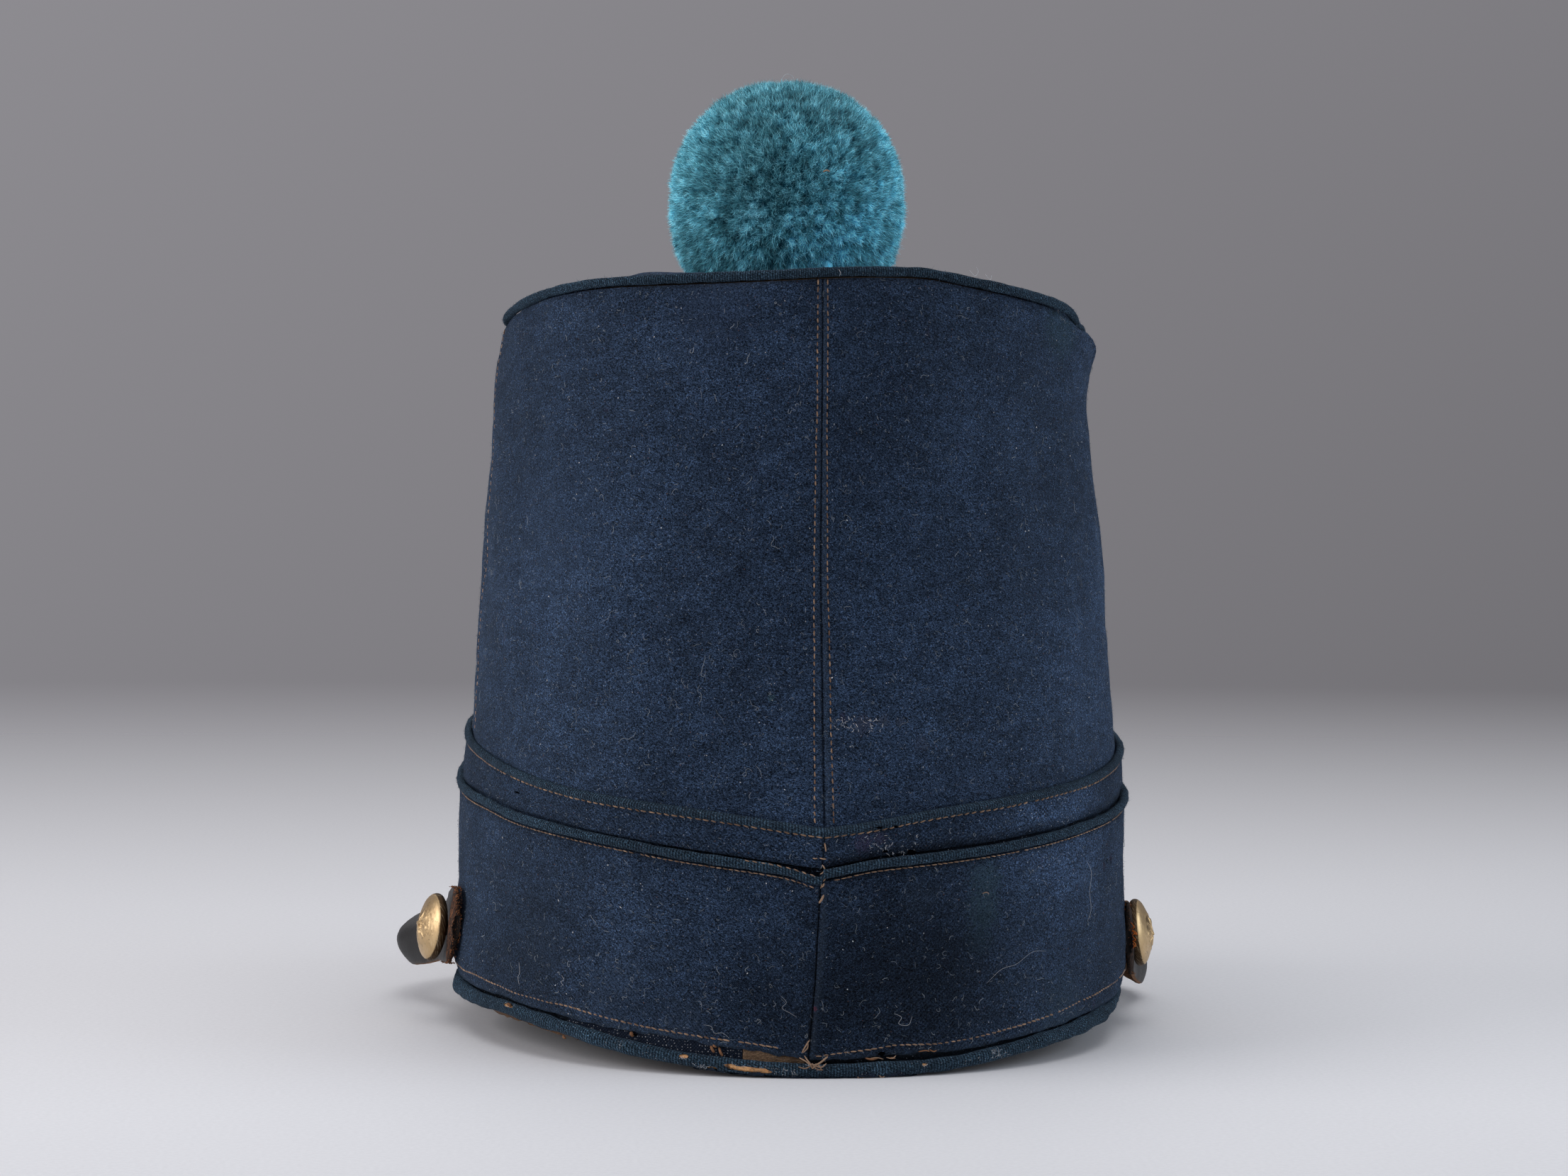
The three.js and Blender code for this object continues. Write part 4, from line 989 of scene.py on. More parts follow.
# ------------------------------------------------------------------------ welts
def cord(name, key, radius, off, cols, sides, mat, node, lift=0.0, seed=0, wear_amount=0.25, squash=1.0, change=None, holes=()):
    """A cloth-covered cord round the cap, with holes worn in its cover."""
    phi = np.arange(sides) * 2 * math.pi / sides
    t = np.stack([phi], -1)
    cut, slide, roll_ = np.zeros((sides, len(cols)), bool), 0.0, 0.0
    if holes:
        wrap = lambda x: (np.mod(x + math.pi, 2 * math.pi) - math.pi) * radius
        s_at = arc(cols)
        s_mid = s_at + 0.5 * np.diff(np.append(s_at, s_at[-1] + 1))
        S_, V_ = np.meshgrid(s_mid, wrap(phi + math.pi / sides))
        S2, V2 = np.meshgrid(s_at, wrap(phi))
        slide, roll_ = np.zeros(S2.shape), np.zeros(S2.shape)
        for h_a, h_phi, h_s, h_v in holes:
            s0, v0 = float(arc(h_a)), math.radians(h_phi) * radius
            edge = lambda S, V: np.sqrt(np.maximum(0.3, 1 + 0.42 * lattice(np.stack([S / 0.8, V / 0.5], -1), 1.0, 83)))
            here = np.hypot((S_ - s0) / h_s, (V_ - v0) / h_v) < edge(S_, V_)
            cut |= here
            around = np.stack([here, np.roll(here, 1, 0), np.roll(here, 1, 1), np.roll(np.roll(here, 1, 0), 1, 1)])
            rim_ = around.any(0) & ~around.all(0)
            k_ = np.clip(edge(S2, V2) / np.maximum(np.hypot((S2 - s0) / h_s, (V2 - v0) / h_v), 1e-3), 0.6, 1.6)
            slide = np.where(rim_, (S2 - s0) * (k_ - 1), slide)
            roll_ = np.where(rim_, (V2 - v0) * (k_ - 1) / radius, roll_)

    def place(a, t):
        ph = t[:, 0:1] + roll_
        ang = angle_at(arc(a) + slide) if holes else a
        far = off(ang) if callable(off) else off
        z0 = line(key, ang) + lift
        p0 = shell(ang, z0, far)
        lump = 1 + 0.045 * waves(p0, 11, seed) + 0.03 * waves(p0, 4, seed + 1)
        r = radius * lump
        dz, do = r * np.sin(ph) * squash, r * np.cos(ph)
        if change is not None:
            dz, do = change(a, ph, dz, do)
        z = z0 + dz
        base = shell(ang, z0 + 0 * dz, far + do)
        base[..., 2] = z
        return base

    a2 = np.broadcast_to(cols[None, :], (sides, len(cols)))
    w = wear_amount * smooth(0.2, 1.0, np.cos(t[:, 0:1])) * (0.7 + 0.3 * waves(shell(a2, 50.0), 14, seed + 4))
    v = np.linspace(0, 2 * math.pi * radius, sides + 1)
    return ring(name, t, cols, place, mat, (node,), None, w, v, cut)


cord("top_welt_cord", "top", TOP_WELT_R, top_off, columns(1.0), 14, welt_cloth, "top_welt", -TOP_WELT_R, 40, 0.30)

# the band's welt is two ends that meet under the seam: the left one dives, the right laps over it
wc = columns(1.0, [(90, 9.0, 2.6)])


def welt_ends(a, ph, dz, do):
    s = arc(a)
    left = bell(np.minimum(s, 0) / 5.0, 1.0) * (s <= 0.4)
    right = bell(np.maximum(s, 0) / 6.0, 1.0) * (s > 0.4)
    return dz - 1.5 * left + 0.25 * right, do - 0.55 * left + 0.35 * right


cord("band_welt_cord", "welt", WELT_R, WELT_OFF, wc, 14, welt_cloth, "band_welt", 0.0, 50, 0.32, 1.0, welt_ends)


# ------------------------------------------------------------------- upper band
def band_notch(col):
    q = from_seam(col)
    return -0.35 * bell(q, 0.30) + 0.16 * bell(q - 1.1, 0.8)


FOLD_UP, FOLD_STITCH = 0.75, 2.02
ub_cols = columns(1.6, [(90, 6.0, 4.0)])
down = np.concatenate([[0.0, 0.18, 0.42, 0.72, 1.05, 1.4, 1.7, 1.88, 2.02, 2.18, 2.4, 2.75], np.linspace(3.4, 10.4, 12)])
ub_rows = np.concatenate([
    np.stack([down[::-1], np.ones(len(down))], -1),
    [(0.0, 0.0), (5.0, 0.0), (10.4, 0.0)],
])


def upper_place(a, t):
    d, face = t[:, 0:1], t[:, 1:2]
    high = line("band", a) + FOLD_UP
    low = line("welt", a) + WELT_R + 0.35
    z = high - np.where(d > 2.7, 2.7 + (d - 2.7) * ((high - low - 2.7) / 7.7), d)
    roll = 0.62 * bell(d - 0.95, 0.78) - 0.34 * bell(d - FOLD_STITCH, 0.26)
    edge = -0.62 * bell(d, 0.26)
    sink = -(0.35 + 0.5 * smooth(89, 91.5, a)) * smooth(3.0, 0.2, z - low) * (0.8 + 0.2 * waves(shell(a, 50.0), 19, 63))
    off = 1.45 + roll + edge + sink + band_wave(np.broadcast_to(a, z.shape), z, 60) + band_notch(a) * smooth(0, 1, d)
    off = np.maximum(off, 0.45)
    off = np.where(face > 0, off, GAP)
    return shell(follow(a, z), z, off)


dd = ub_rows[:, 0:1]
# wear: the rolled edge's crest is lighter with wear; the seam's groove, the fold's stitch line and the cloth just above
# the welt get painted shade
w = (0.42 * bell(dd - 0.8, 0.6) * np.ones((1, len(ub_cols))) - 0.85 * bell(from_seam(ub_cols)[None], 0.28) * (dd > 0.6)
     - (0.22 + 0.40 * smooth(89, 91.5, ub_cols))[None] * smooth(7.2, 10.0, dd) * np.clip(0.75 + 0.45 * waves(shell(ub_cols, 50.0), 21, 64), 0, 1)[None]
     - 0.35 * bell(dd - FOLD_STITCH, 0.22)) * ub_rows[:, 1:2]
on_fold = ((dd[:, 0] <= FOLD_STITCH) & (ub_rows[:, 1] > 0) & (np.roll(dd[:, 0], -1) <= FOLD_STITCH)).astype(int)
ring("upper_band_cloth", ub_rows, ub_cols, upper_place, [band_cloth, fold_cloth], ("upper_band",), on_fold, w)


# ------------------------------------------------------------------- lower band
TEAR_COLUMNS = ("angle", "how much of the lower edge is gone")
TEAR = np.array([
    (44, 0), (52, 0.55), (62, 1.5), (67, 1.85), (71.7, 2.0), (74.9, 1.85), (79.3, 1.75), (82.6, 1.5), (84.8, 0.95), (87.6, 0.8),
    (89.6, 0.4), (90.3, 0.1), (94, 0.35), (97, 0.6), (100.5, 0.9), (105, 1.05), (108, 0.75), (112, 0.3), (118, 0), (270, 0),
], float)


def low_edge(a):
    """Lower edge of the band: worn away either side of the seam, ragged elsewhere."""
    s = arc(a)
    fray = 0.20 * lattice(np.stack([s / 1.3, 0 * s], -1), 1.0, 71) + 0.16 * lattice(np.stack([s / 4.1, 0 * s], -1), 1.0, 72)
    return line("rim", a) + PIPING_R + 0.45 + np.interp(a, TEAR[:, 0], TEAR[:, 1]) + fray * smooth(-190, -170, -np.abs(s))


lb_cols = columns(1.6, [(90, 6.0, 4.5), (70, 26.0, 1.9)])
lb_v = np.concatenate([[0.0, 0.006, 0.02, 0.04], np.linspace(0.065, 0.96, 34), [0.985, 1.0]])
lb_rows = np.concatenate([
    np.stack([lb_v, np.ones(len(lb_v))], -1),
    [(1.0, 0.0), (0.5, 0.0), (0.0, 0.0)],
])


def stitch_z(a):
    """Height of the topstitch above the rim."""
    return np.interp(arc(a), STITCH_S, STITCH_Z)


_sa = np.array([-90, -45, 0, 14, 24, 37, 46, 54, 61, 68, 74, 80, 85.4, 89.0, 90.9, 95.6, 101, 107, 114, 121, 129, 140, 149, 162, 180, 225, 270])
_sz = np.array([5.6, 5.6, 5.8, 7.0, 8.3, 8.5, 8.8, 8.4, 7.5, 6.9, 6.2, 5.6, 4.6, 4.2, 2.8, 3.85, 4.8, 4.55, 4.8, 5.8, 6.5, 7.7, 7.5, 6.9, 6.0, 5.6, 5.6])
STITCH_S, STITCH_Z = arc(_sa), _sz


def lower_relief(a, z):
    q = from_seam(a)
    d = band_wave(a, z, 65)
    open_ = smooth(15.0, 10.0, z)
    d = d + -(0.85 + 0.3 * open_) * bell(q, 0.24 + 0.24 * open_) + 0.30 * bell(q - 1.1, 0.75) - 0.05 * bell(q + 1.2, 0.9)
    # it flares out at the sides, low down
    d = d + 1.35 * smooth(34, 12, a) * smooth(-70, -40, a) * smooth(3, 8, z) * smooth(24, 13, z)
    d = d + 0.95 * smooth(148, 166, a) * (1 - smooth(230, 250, a)) * smooth(3, 8, z) * smooth(26, 13, z)
    d = d - 0.20 * bell(z - stitch_z(a), 0.34)
    # a tuck beside the seam under the welt, and soft folds on the left near the rim
    d = d + 0.75 * bell((q - 7) / 6.0, 1.0) * bell((z - 37) / 2.4, 1.0) * smooth(0.5, 2.5, q) - 0.60 * bell((q - 8) / 7.0, 1.0) * bell((z - 31.5) / 2.2, 1.0) * smooth(0.5, 2.5, q)
    d = d + 0.30 * bell((q + 66) / 16.0, 1.0) * bell((z - 15) / 5.0, 1.0)
    d = d - 0.55 * bell((q - 6.0) / 5.5, 1.0) * bell((z - 40.4 + 0.12 * q) / 1.1, 1.0) * smooth(0.6, 2.5, q) - 0.34 * bell((q - 7.5) / 6.5, 1.0) * bell((z - 27.0 - 0.10 * q) / 1.4, 1.0) * smooth(0.6, 3.0, q)
    return d


def lower_place(a, t):
    v, face = t[:, 0:1], t[:, 1:2]
    low = low_edge(a)
    high = line("welt", a) - WELT_R - 0.35
    z = low + v * (high - low)
    aa = np.broadcast_to(a, z.shape)
    off = BAND_OFF + lower_relief(aa, z) - 0.35 * (v < 0.003) - 0.4 * (v > 0.99)
    off = np.maximum(off, 0.5)
    off = np.where(face > 0, off, GAP)
    return shell(follow(a, z), z, off)


zz = low_edge(lb_cols)[None] + lb_rows[:, 0:1] * (line("welt", lb_cols) - 1.45 - low_edge(lb_cols))[None]
# wear: the ridge beside the seam and the lower edge are lighter with wear; the seam's groove and the top just under the
# welt get painted shade
w = (0.62 * bell(from_seam(lb_cols)[None] - 0.95, 0.55) - 0.95 * bell(from_seam(lb_cols)[None], 0.26 + 0.24 * smooth(15, 10, zz)) + 0.35 * (lb_rows[:, 0:1] < 0.03)
     - 0.30 * (lb_rows[:, 0:1] > 0.97)) * lb_rows[:, 1:2] + 0 * zz
ring("lower_band_cloth", lb_rows, lb_cols, lower_place, band_cloth, ("lower_band",), None, w)

# ----------------------------------------------------------------------- piping
HOLE_COLUMNS = ("angle", "round the cord, degrees up", "half length mm", "half height mm")
HOLES = [(80.3, -4, 4.9, 0.66), (82.6, -14, 1.9, 0.5), (77.6, 8, 1.5, 0.5), (70.3, 36, 1.0, 0.55), (105.2, 34, 0.55, 0.5), (34.4, 46, 1.9, 0.50),
         (74.9, -34, 1.2, 0.5)]
pc = columns(1.1, [(80, 26.0, 3.4), (34.4, 5.0, 2.6)])


def fuller(a, ph, dz, do):
    """The cord's cover is slack and lumpy at the sides."""
    t = turn_of(a)
    slack = smooth(31, 8, t) * smooth(-60, -20, t) + 0.9 * smooth(126, 148, t) * smooth(240, 200, t)
    k = 1 + slack * (0.13 + 0.07 * waves(shell(a, 50.0), 9, 88))
    return dz * k, do * k - 0.25 * slack * (k - 1)


cord("rim_piping_cloth", "rim", PIPING_R, piping_off, pc, 26, piping_cloth, "rim_piping", 0.0, 80, 0.22, change=fuller, holes=HOLES)


def on_piping(a, phi, dr=0.0):
    """Points of the piping at angles round the cap and degrees up round the cord."""
    phi = np.radians(phi)
    z0 = line("rim", a)
    p = shell(a, z0 + 0 * phi, piping_off(a) + (PIPING_R + dr) * np.cos(phi))
    p[..., 2] = z0 + (PIPING_R + dr) * np.sin(phi)
    return p


# the cane inside, bare where the cloth has worn through
cane_a, cane_phi = np.linspace(58, 112, 220), np.arange(14) * 360 / 14
A_, H_ = np.meshgrid(cane_a, cane_phi)
bare = 0.10 * bell((A_ - 80.5) / 3.0, 1.0) - 0.14 * smooth(0.2, 1.0, lattice(np.stack([arc(A_) / 1.7, H_ / 60], -1), 1.0, 84))
P = on_piping(A_, H_, -0.30 + bare)
f, corners = grid_faces(14, 220, True, False)
CA = (P.reshape(-1, 3), f[:, ::-1], grid_uv(corners, arc(cane_a), np.linspace(0, 9, 15)).reshape(-1, 4, 2)[:, ::-1].reshape(-1, 2))
A_, H_ = np.meshgrid(np.linspace(28, 41, 60), cane_phi)
P = on_piping(A_, H_, -0.45)
f, corners = grid_faces(14, 60, True, False)
CB = (P.reshape(-1, 3), f[:, ::-1] + len(CA[0]), grid_uv(corners, arc(A_[0]), np.linspace(0, 9, 15)).reshape(-1, 4, 2)[:, ::-1].reshape(-1, 2))
make("rim_cane", np.concatenate([CA[0], CB[0]]), np.concatenate([CA[1], CB[1]]), cane_surface, (), np.concatenate([CA[2], CB[2]]))


def strip(name, a0, a1, low, high, off, mat, bumps=0.12, seed=0, step=0.35):
    """A patch of another layer that shows where the band's edge is gone."""
    s_ = np.arange(arc(a0), arc(a1), step)
    a_ = angle_at(s_)
    t = np.linspace(0, 1, 9)[:, None]
    z_ = low(a_)[None] + t * (high(a_) - low(a_))[None]
    A_ = np.broadcast_to(a_[None], z_.shape)
    P = shell(A_, z_, off + bumps * lattice(np.stack([np.broadcast_to(s_, z_.shape) / 0.9, z_ / 0.8], -1), 1.0, seed) - 0.25 * t)
    f, corners = grid_faces(9, len(s_), False, False)
    uvs = np.stack([np.broadcast_to(s_, z_.shape).ravel(), z_.ravel()], -1)[f[:, ::-1].ravel()]
    return make(name, P.reshape(-1, 3), f[:, ::-1], mat, (), uvs)


def ragged(a, size, seed, amount):
    return amount * lattice(np.stack([arc(a) / size, 0 * a], -1), 1.0, seed)


strip("under_cloth_strip", 48, 79.2, lambda a: line("rim", a) + 0.9, lambda a: low_edge(a) + 1.2, 0.95, under_mat, 0.10, 86)
strip("felt_strip", 79.2, 88.2, lambda a: line("rim", a) + 0.9, lambda a: low_edge(a) + 1.0, 0.85, felt_mat, 0.22, 87)

# a torn layer hangs under the piping at the back
s_ = np.arange(arc(71.5), arc(104.5), 0.3)
a_ = angle_at(s_)
t = np.linspace(0, 1, 8)[:, None]
top_phi = -34 + 24 * lattice(np.stack([s_ / 1.5, 0 * s_], -1), 1.0, 93) + 16 * lattice(np.stack([s_ / 5.0, 0 * s_], -1), 1.0, 94)
top_phi = top_phi - 60 * (1 - smooth(71.5, 74.0, a_) * (1 - smooth(101.5, 104.5, a_)))
H_ = -118 + t * (top_phi[None] + 118)
A_ = np.broadcast_to(a_[None], H_.shape)
P = on_piping(A_, H_, 0.16 + 0.10 * lattice(np.stack([np.broadcast_to(s_, H_.shape) / 0.8, H_ / 25], -1), 1.0, 95) + 0.10 * t)
P[..., 2] = np.maximum(P[..., 2], (-SHIFT[2] + P[..., 1] * math.sin(TILT)) / math.cos(TILT) + 0.05)
f, corners = grid_faces(8, len(s_), False, False)
make("torn_hem", P.reshape(-1, 3), f[:, ::-1], shaded_hem_cloth, (), np.stack([np.broadcast_to(s_, H_.shape).ravel(), (H_ / 30).ravel()], -1)[f[:, ::-1].ravel()],
     None, {"wear": 0 * H_.ravel()})


def fray(groups, seed):
    """Loose fibre ends at torn places of the piping: (from, to, degrees up from, to, count, length)."""
    rng = np.random.default_rng(seed)
    Vs, Ns, Ts = [], [], []
    for a0, a1, h0, h1, n, length in groups:
        a_ = rng.uniform(a0, a1, n)
        h_ = rng.uniform(h0, h1, n)
        root = on_piping(a_, h_, -0.05)
        nrm = unit(on_piping(a_, h_, 0.5) - root)
        tang = unit(np.cross(nrm, unit(rng.normal(size=(n, 3)))))
        go = unit(tang + nrm * rng.uniform(0.1, 0.8, n)[:, None])
        side = unit(np.cross(go, nrm)) * rng.uniform(0.035, 0.065, n)[:, None]
        tip = root + go * (length * rng.uniform(0.5, 1.4, n))[:, None]
        Vs.append(np.stack([root - side, root + side, tip], 1).reshape(-1, 3))
        Ns.append(np.repeat(nrm, 3, 0))
        Ts.append(np.repeat(rng.random(n), 3))
    V = np.concatenate(Vs)
    return make("torn_frays", V, np.arange(len(V)).reshape(-1, 3), lint_white, attrs={"tint": np.concatenate(Ts)}, normals=np.concatenate(Ns))


fray([(69.8, 70.9, 10, 30, 12, 0.5), (104.8, 105.6, 15, 26, 8, 0.5), (116.9, 118.8, -20, 60, 34, 0.8), (59.3, 60.1, 10, 60, 16, 0.6), (72.0, 75.0, -50, -10, 30, 0.7),
      (76.6, 84.2, 14, 26, 22, 0.45), (83.8, 87.2, -30, 20, 26, 0.6), (33.4, 36.0, 25, 62, 12, 0.6), (98.2, 99.1, 60, 95, 14, 0.7), (110, 135, -60, 20, 40, 0.6),
      (88.0, 90.4, 10, 70, 14, 0.7), (52, 70, -60, 10, 30, 0.5)], 371)

# -------------------------------------------------------------------- sweatband
sc = columns(2.0)
sv = np.concatenate([[0, 0.02, 0.06], np.linspace(0.12, 0.97, 14), [1.0]])
sw_rows = np.concatenate([
    np.stack([sv, np.full_like(sv, LEATHER_OFF)], -1),
    [(1.0, LEATHER_OFF - 0.7)],
    np.stack([sv[::-1], np.full_like(sv, LEATHER_OFF - LEATHER_THICK)], -1),
    [(0.0, LEATHER_OFF - 0.7)],
])


def sweat_place(a, t):
    v, off = t[:, 0:1], t[:, 1:2]
    low = line("leather", a) + 0.30 * lattice(np.stack([arc(a) / 2.3, 0 * a], -1), 1.0, 91)
    z = low + v * (LEATHER_TOP - low)
    p = shell(a, z)
    return shell(a, z, off + 0.05 * waves(p, 9, 92) * np.ones_like(v))


ring("sweatband_leather", sw_rows, sc, sweat_place, [sweat_leather, raw_edge], ("sweatband",),
     [0] * (len(sv) - 1) + [1, 1] + [0] * (len(sv) - 1) + [1, 1])

# ------------------------------------------------------------------------- peak
tilt_s, tilt_c = math.sin(TILT), math.cos(TILT)


def floor_at(y):
    return (-SHIFT[2] + y * tilt_s) / tilt_c


def peak_surface(u, v):
    phi = (u - 0.5) * 180.0
    root = shell(-28.0 + u * (-152.0 + 28.0), 0.0 * u, -2.2)
    root[..., 2] = -4.5
    ex = -78.0 * np.sin(np.radians(phi))
    ey = -49.5 - 112.0 * np.cos(np.radians(phi))
    rise = np.maximum(0, (np.abs(phi) - 26.0) / 64.0) ** 1.6
    ez = floor_at(ey) + rise * (-4.5 - floor_at(ey))
    x = root[..., 0] + (ex - root[..., 0]) * v
    y = root[..., 1] + (ey - root[..., 1]) * v
    z = root[..., 2] + (ez - root[..., 2]) * v + 1.6 * np.sin(math.pi * v) * np.cos(np.radians(phi))
    return np.stack([x, y, z], -1)


nu, nv = 150, 34
u = np.linspace(0, 1, nu)[None, :]
vv = np.concatenate([np.linspace(0, 0.93, nv - 10), np.linspace(0.94, 1.0, 10)])[:, None]
low = peak_surface(u * np.ones_like(vv), vv * np.ones_like(u))
edge_d = np.linalg.norm(peak_surface(u, 1.0 + 0 * u) - peak_surface(u, 0 * u), axis=-1) * (1 - vv)
# a bound edge: a rolled strip sewn round the rim of the peak
roll = 0.75 * smooth(4.2, 3.2, edge_d) * np.sqrt(np.clip(1 - ((edge_d - 2.0) / 2.3) ** 2, 0, 1)) - 0.25 * bell(edge_d - 4.4, 0.4)
dent = 0.14 * waves(low, 30, 95) + 0.05 * waves(low, 8, 96)
up_ = low.copy()
up_[..., 2] += 2.3 + np.where(vv > 0.02, dent * 0.5, 0) + roll - 2.2 * bell(edge_d, 0.35) * 0.5
lo_ = low.copy()
lo_[..., 2] += 0.35 * bell(edge_d, 0.4)
P = np.concatenate([up_, lo_[::-1]])
f, corners = grid_faces(len(P), nu, True, False)
n = len(P)
# the two short ends
e0 = [[r * nu, (n - 1 - r) * nu, (n - 2 - r) * nu, (r + 1) * nu] for r in range(len(up_) - 1)]
e1 = [[r * nu + nu - 1, (r + 1) * nu + nu - 1, (n - 2 - r) * nu + nu - 1, (n - 1 - r) * nu + nu - 1] for r in range(len(up_) - 1)]
F = np.concatenate([f, e0, e1])
flat_uv = P.reshape(-1, 3)[F.ravel()][:, :2]
fm = np.concatenate([np.repeat([0] * (len(up_) - 1) + [0] + [1] * (len(up_) - 1) + [0], nu - 1)[: len(f)], np.zeros(len(e0) + len(e1))])
w = np.concatenate([0.35 * bell(edge_d, 0.6), 0 * edge_d]).ravel()
make("peak_leather", P.reshape(-1, 3), F, [patent_mat, sweat_leather], ("peak",), flat_uv, fm, {"wear": w})

# ------------------------------------------------------------------- chin strap
_al = -STRAP[:, 0]


def strap_mid(t):
    p = shell(-t, 0.0 * t, curve(_al, STRAP[:, 1], t))
    p[..., 2] = curve(_al, STRAP[:, 2], t)
    return p


_tt = np.linspace(_al[0], _al[-1], 1401)
_mid = strap_mid(_tt)
_run = np.concatenate([[0], np.cumsum(np.linalg.norm(np.diff(_mid, axis=0), axis=1))])


def strap_surface(run, across, up_mm):
    """Points at a distance along, a fraction across (-1 to 1) and up_mm outside the middle sheet."""
    t = np.interp(run, _run, _tt)
    at = strap_mid(t)
    tan = strap_mid(np.minimum(_tt[-1], t + 0.25)) - strap_mid(np.maximum(_tt[0], t - 0.25))
    tan[..., 2] = 0
    tan = unit(tan)
    nrm = np.stack([-tan[..., 1], tan[..., 0], 0 * tan[..., 0]], -1)
    sign = np.sign((nrm * at).sum(-1, keepdims=True))
    nrm = nrm * sign
    zc = np.zeros_like(nrm)
    zc[..., 2] = 1
    lean = np.radians(curve(_al, STRAP[:, 5], t))[..., None]
    w = zc * np.cos(lean) - nrm * np.sin(lean)
    face = nrm * np.cos(lean) + zc * np.sin(lean)
    half = curve(_al, STRAP[:, 3], t) / 2
    bow = curve(_al, STRAP[:, 4], t) * (1 - across ** 2)
    return at + w * (across * half)[..., None] + face * (bow + up_mm)[..., None]


L = _run[-1]
m = 300
run = np.concatenate([np.linspace(0, 22, 40), np.linspace(22, L - 22, m)[1:-1], np.linspace(L - 22, L, 40)])
# rounded ends: the strip narrows near each end
from_end = np.minimum(run, L - run)
narrow = np.sqrt(np.clip(1 - (1 - np.clip(from_end / 5.5, 0, 1)) ** 2.4, 0, 1))
narrow = np.maximum(narrow, 0.34)
ac = np.concatenate([[-1.0, -0.985, -0.95], np.linspace(-0.88, 0.88, 13), [0.95, 0.985, 1.0]])
half_t = STRAP_THICK / 2
prof = [(a, half_t * (1 - 0.38 * max(0, (abs(a) - 0.93) / 0.07) ** 2)) for a in ac] + [(1.0, 0.2), (1.0, -0.2)] + \
       [(a, -half_t * (1 - 0.30 * max(0, (abs(a) - 0.93) / 0.07) ** 2)) for a in ac[::-1]] + [(-1.0, -0.2), (-1.0, 0.2)]
prof = np.array(prof)
R, A = np.meshgrid(run, prof[:, 0], indexing="ij")
U = np.broadcast_to(prof[:, 1][None], R.shape)
mid0 = strap_surface(R, 0 * A, 0 * A)
wob = 0.10 * waves(mid0, 16, 101) + 0.05 * waves(mid0, 5, 102)
thick_end = (1 + 0.80 * smooth(15, 4, from_end)[:, None]) * (1 - 0.62 * smooth(14, 5, from_end)[:, None] * A ** 2) + 0.40 * smooth(14, 5, from_end)[:, None] * lattice(np.stack([A * 9.0, R / 0.9], -1), 1.0, 104)
P = strap_surface(R, A * narrow[:, None], U * thick_end + wob)
nr, ncp = P.shape[:2]
f, corners = grid_faces(nr, ncp, False, True)
cl = np.cumsum(np.concatenate([[0], np.linalg.norm(np.diff(np.concatenate([P[nr // 2], P[nr // 2][:1]]), axis=0), axis=1)]))
uvs = grid_uv(corners, cl, run)
c0, c1 = P[0].mean(0) - 0, P[-1].mean(0)
V = np.concatenate([P.reshape(-1, 3), [c0, c1]])
k = np.arange(ncp)
capA = np.stack([np.full(ncp, nr * ncp), k, (k + 1) % ncp, np.full(ncp, -1)], -1)
capB = np.stack([np.full(ncp, nr * ncp + 1), (nr - 1) * ncp + (k + 1) % ncp, (nr - 1) * ncp + k, np.full(ncp, -1)], -1)
F = np.concatenate([f, capA, capB])
cuv = np.zeros((2 * ncp * 3, 2))
seg = np.tile([0] * (len(ac) - 1) + [1, 1, 1] + [2] * (len(ac) - 1) + [1, 1, 1], nr - 1)
fm = np.concatenate([np.where(seg == 1, 1, np.where(seg == 2, 1, 0)), np.full(2 * ncp, 2)])
_fe = np.repeat(np.minimum(run[:-1], L - run[:-1]), ncp)
_left = np.repeat(run[:-1] < L / 2, ncp)
fm[: len(_fe)][_left & ((_fe < 8.0) | ((seg == 2) & (_fe < 12)) | ((seg == 1) & (_fe < 20)))] = 2
# the right end takes the darker cut leather: painted shade
fm[: len(_fe)][~_left & ((_fe < 9.0) | ((seg == 2) & (_fe < 16)) | ((seg == 1) & (_fe < 14)))] = 3
fm[-len(capB):] = 3
edge_w = np.clip((np.abs(prof[:, 0]) - 0.9) / 0.1, 0, 1) ** 2
w = np.concatenate([(0.75 * edge_w[None] * np.ones((nr, 1)) + 0.8 * bell(from_end, 1.4)[:, None]).ravel(), [1, 1]])
# torn fibres of the leather at its cut ends
rng = np.random.default_rng(105)
nf = 700
fr = np.where(rng.random(nf) < 0.84, rng.uniform(0, 15, nf), L - rng.uniform(0, 12, nf))
fa = np.where(rng.random(nf) < 0.75, np.sign(rng.normal(size=nf)), rng.uniform(-1, 1, nf))
fe_ = np.minimum(fr, L - fr)
fr = np.where(np.abs(fa) < 1, np.where(fr < L / 2, 0.05, L - 0.05), fr)
fe_ = np.minimum(fr, L - fr)
fnar = np.maximum(np.sqrt(np.clip(1 - (1 - np.clip(fe_ / 5.5, 0, 1)) ** 2.4, 0, 1)), 0.34)
fu = rng.uniform(-1.1, 1.1, nf) * (1 + 0.3 * (fe_ > 4))
froot = strap_surface(fr, fa * fnar * 0.985, fu * 0.8)
fdir = unit(froot - strap_surface(fr, fa * fnar * 0.8, fu * 0.0) + 1e-6)
fgo = unit(fdir + 1.2 * unit(rng.normal(size=(nf, 3))))
fside = unit(np.cross(fgo, [0.3, 1.0, 0.2])) * rng.uniform(0.05, 0.13, nf)[:, None]
FV = np.stack([froot - fside, froot + fside, froot + fgo * rng.uniform(0.20, 0.62, nf)[:, None]], 1).reshape(-1, 3)
make("strap_frays", FV, np.arange(nf * 3).reshape(-1, 3), fray_leather, attrs={"tint": np.repeat(rng.random(nf), 3)})

make("chin_strap_leather", V, F, [patent_mat, raw_edge, cut_leather, shaded_cut_leather], ("chin_strap",), np.concatenate([uvs, cuv]), fm, {"wear": np.clip(w, 0, 1)})


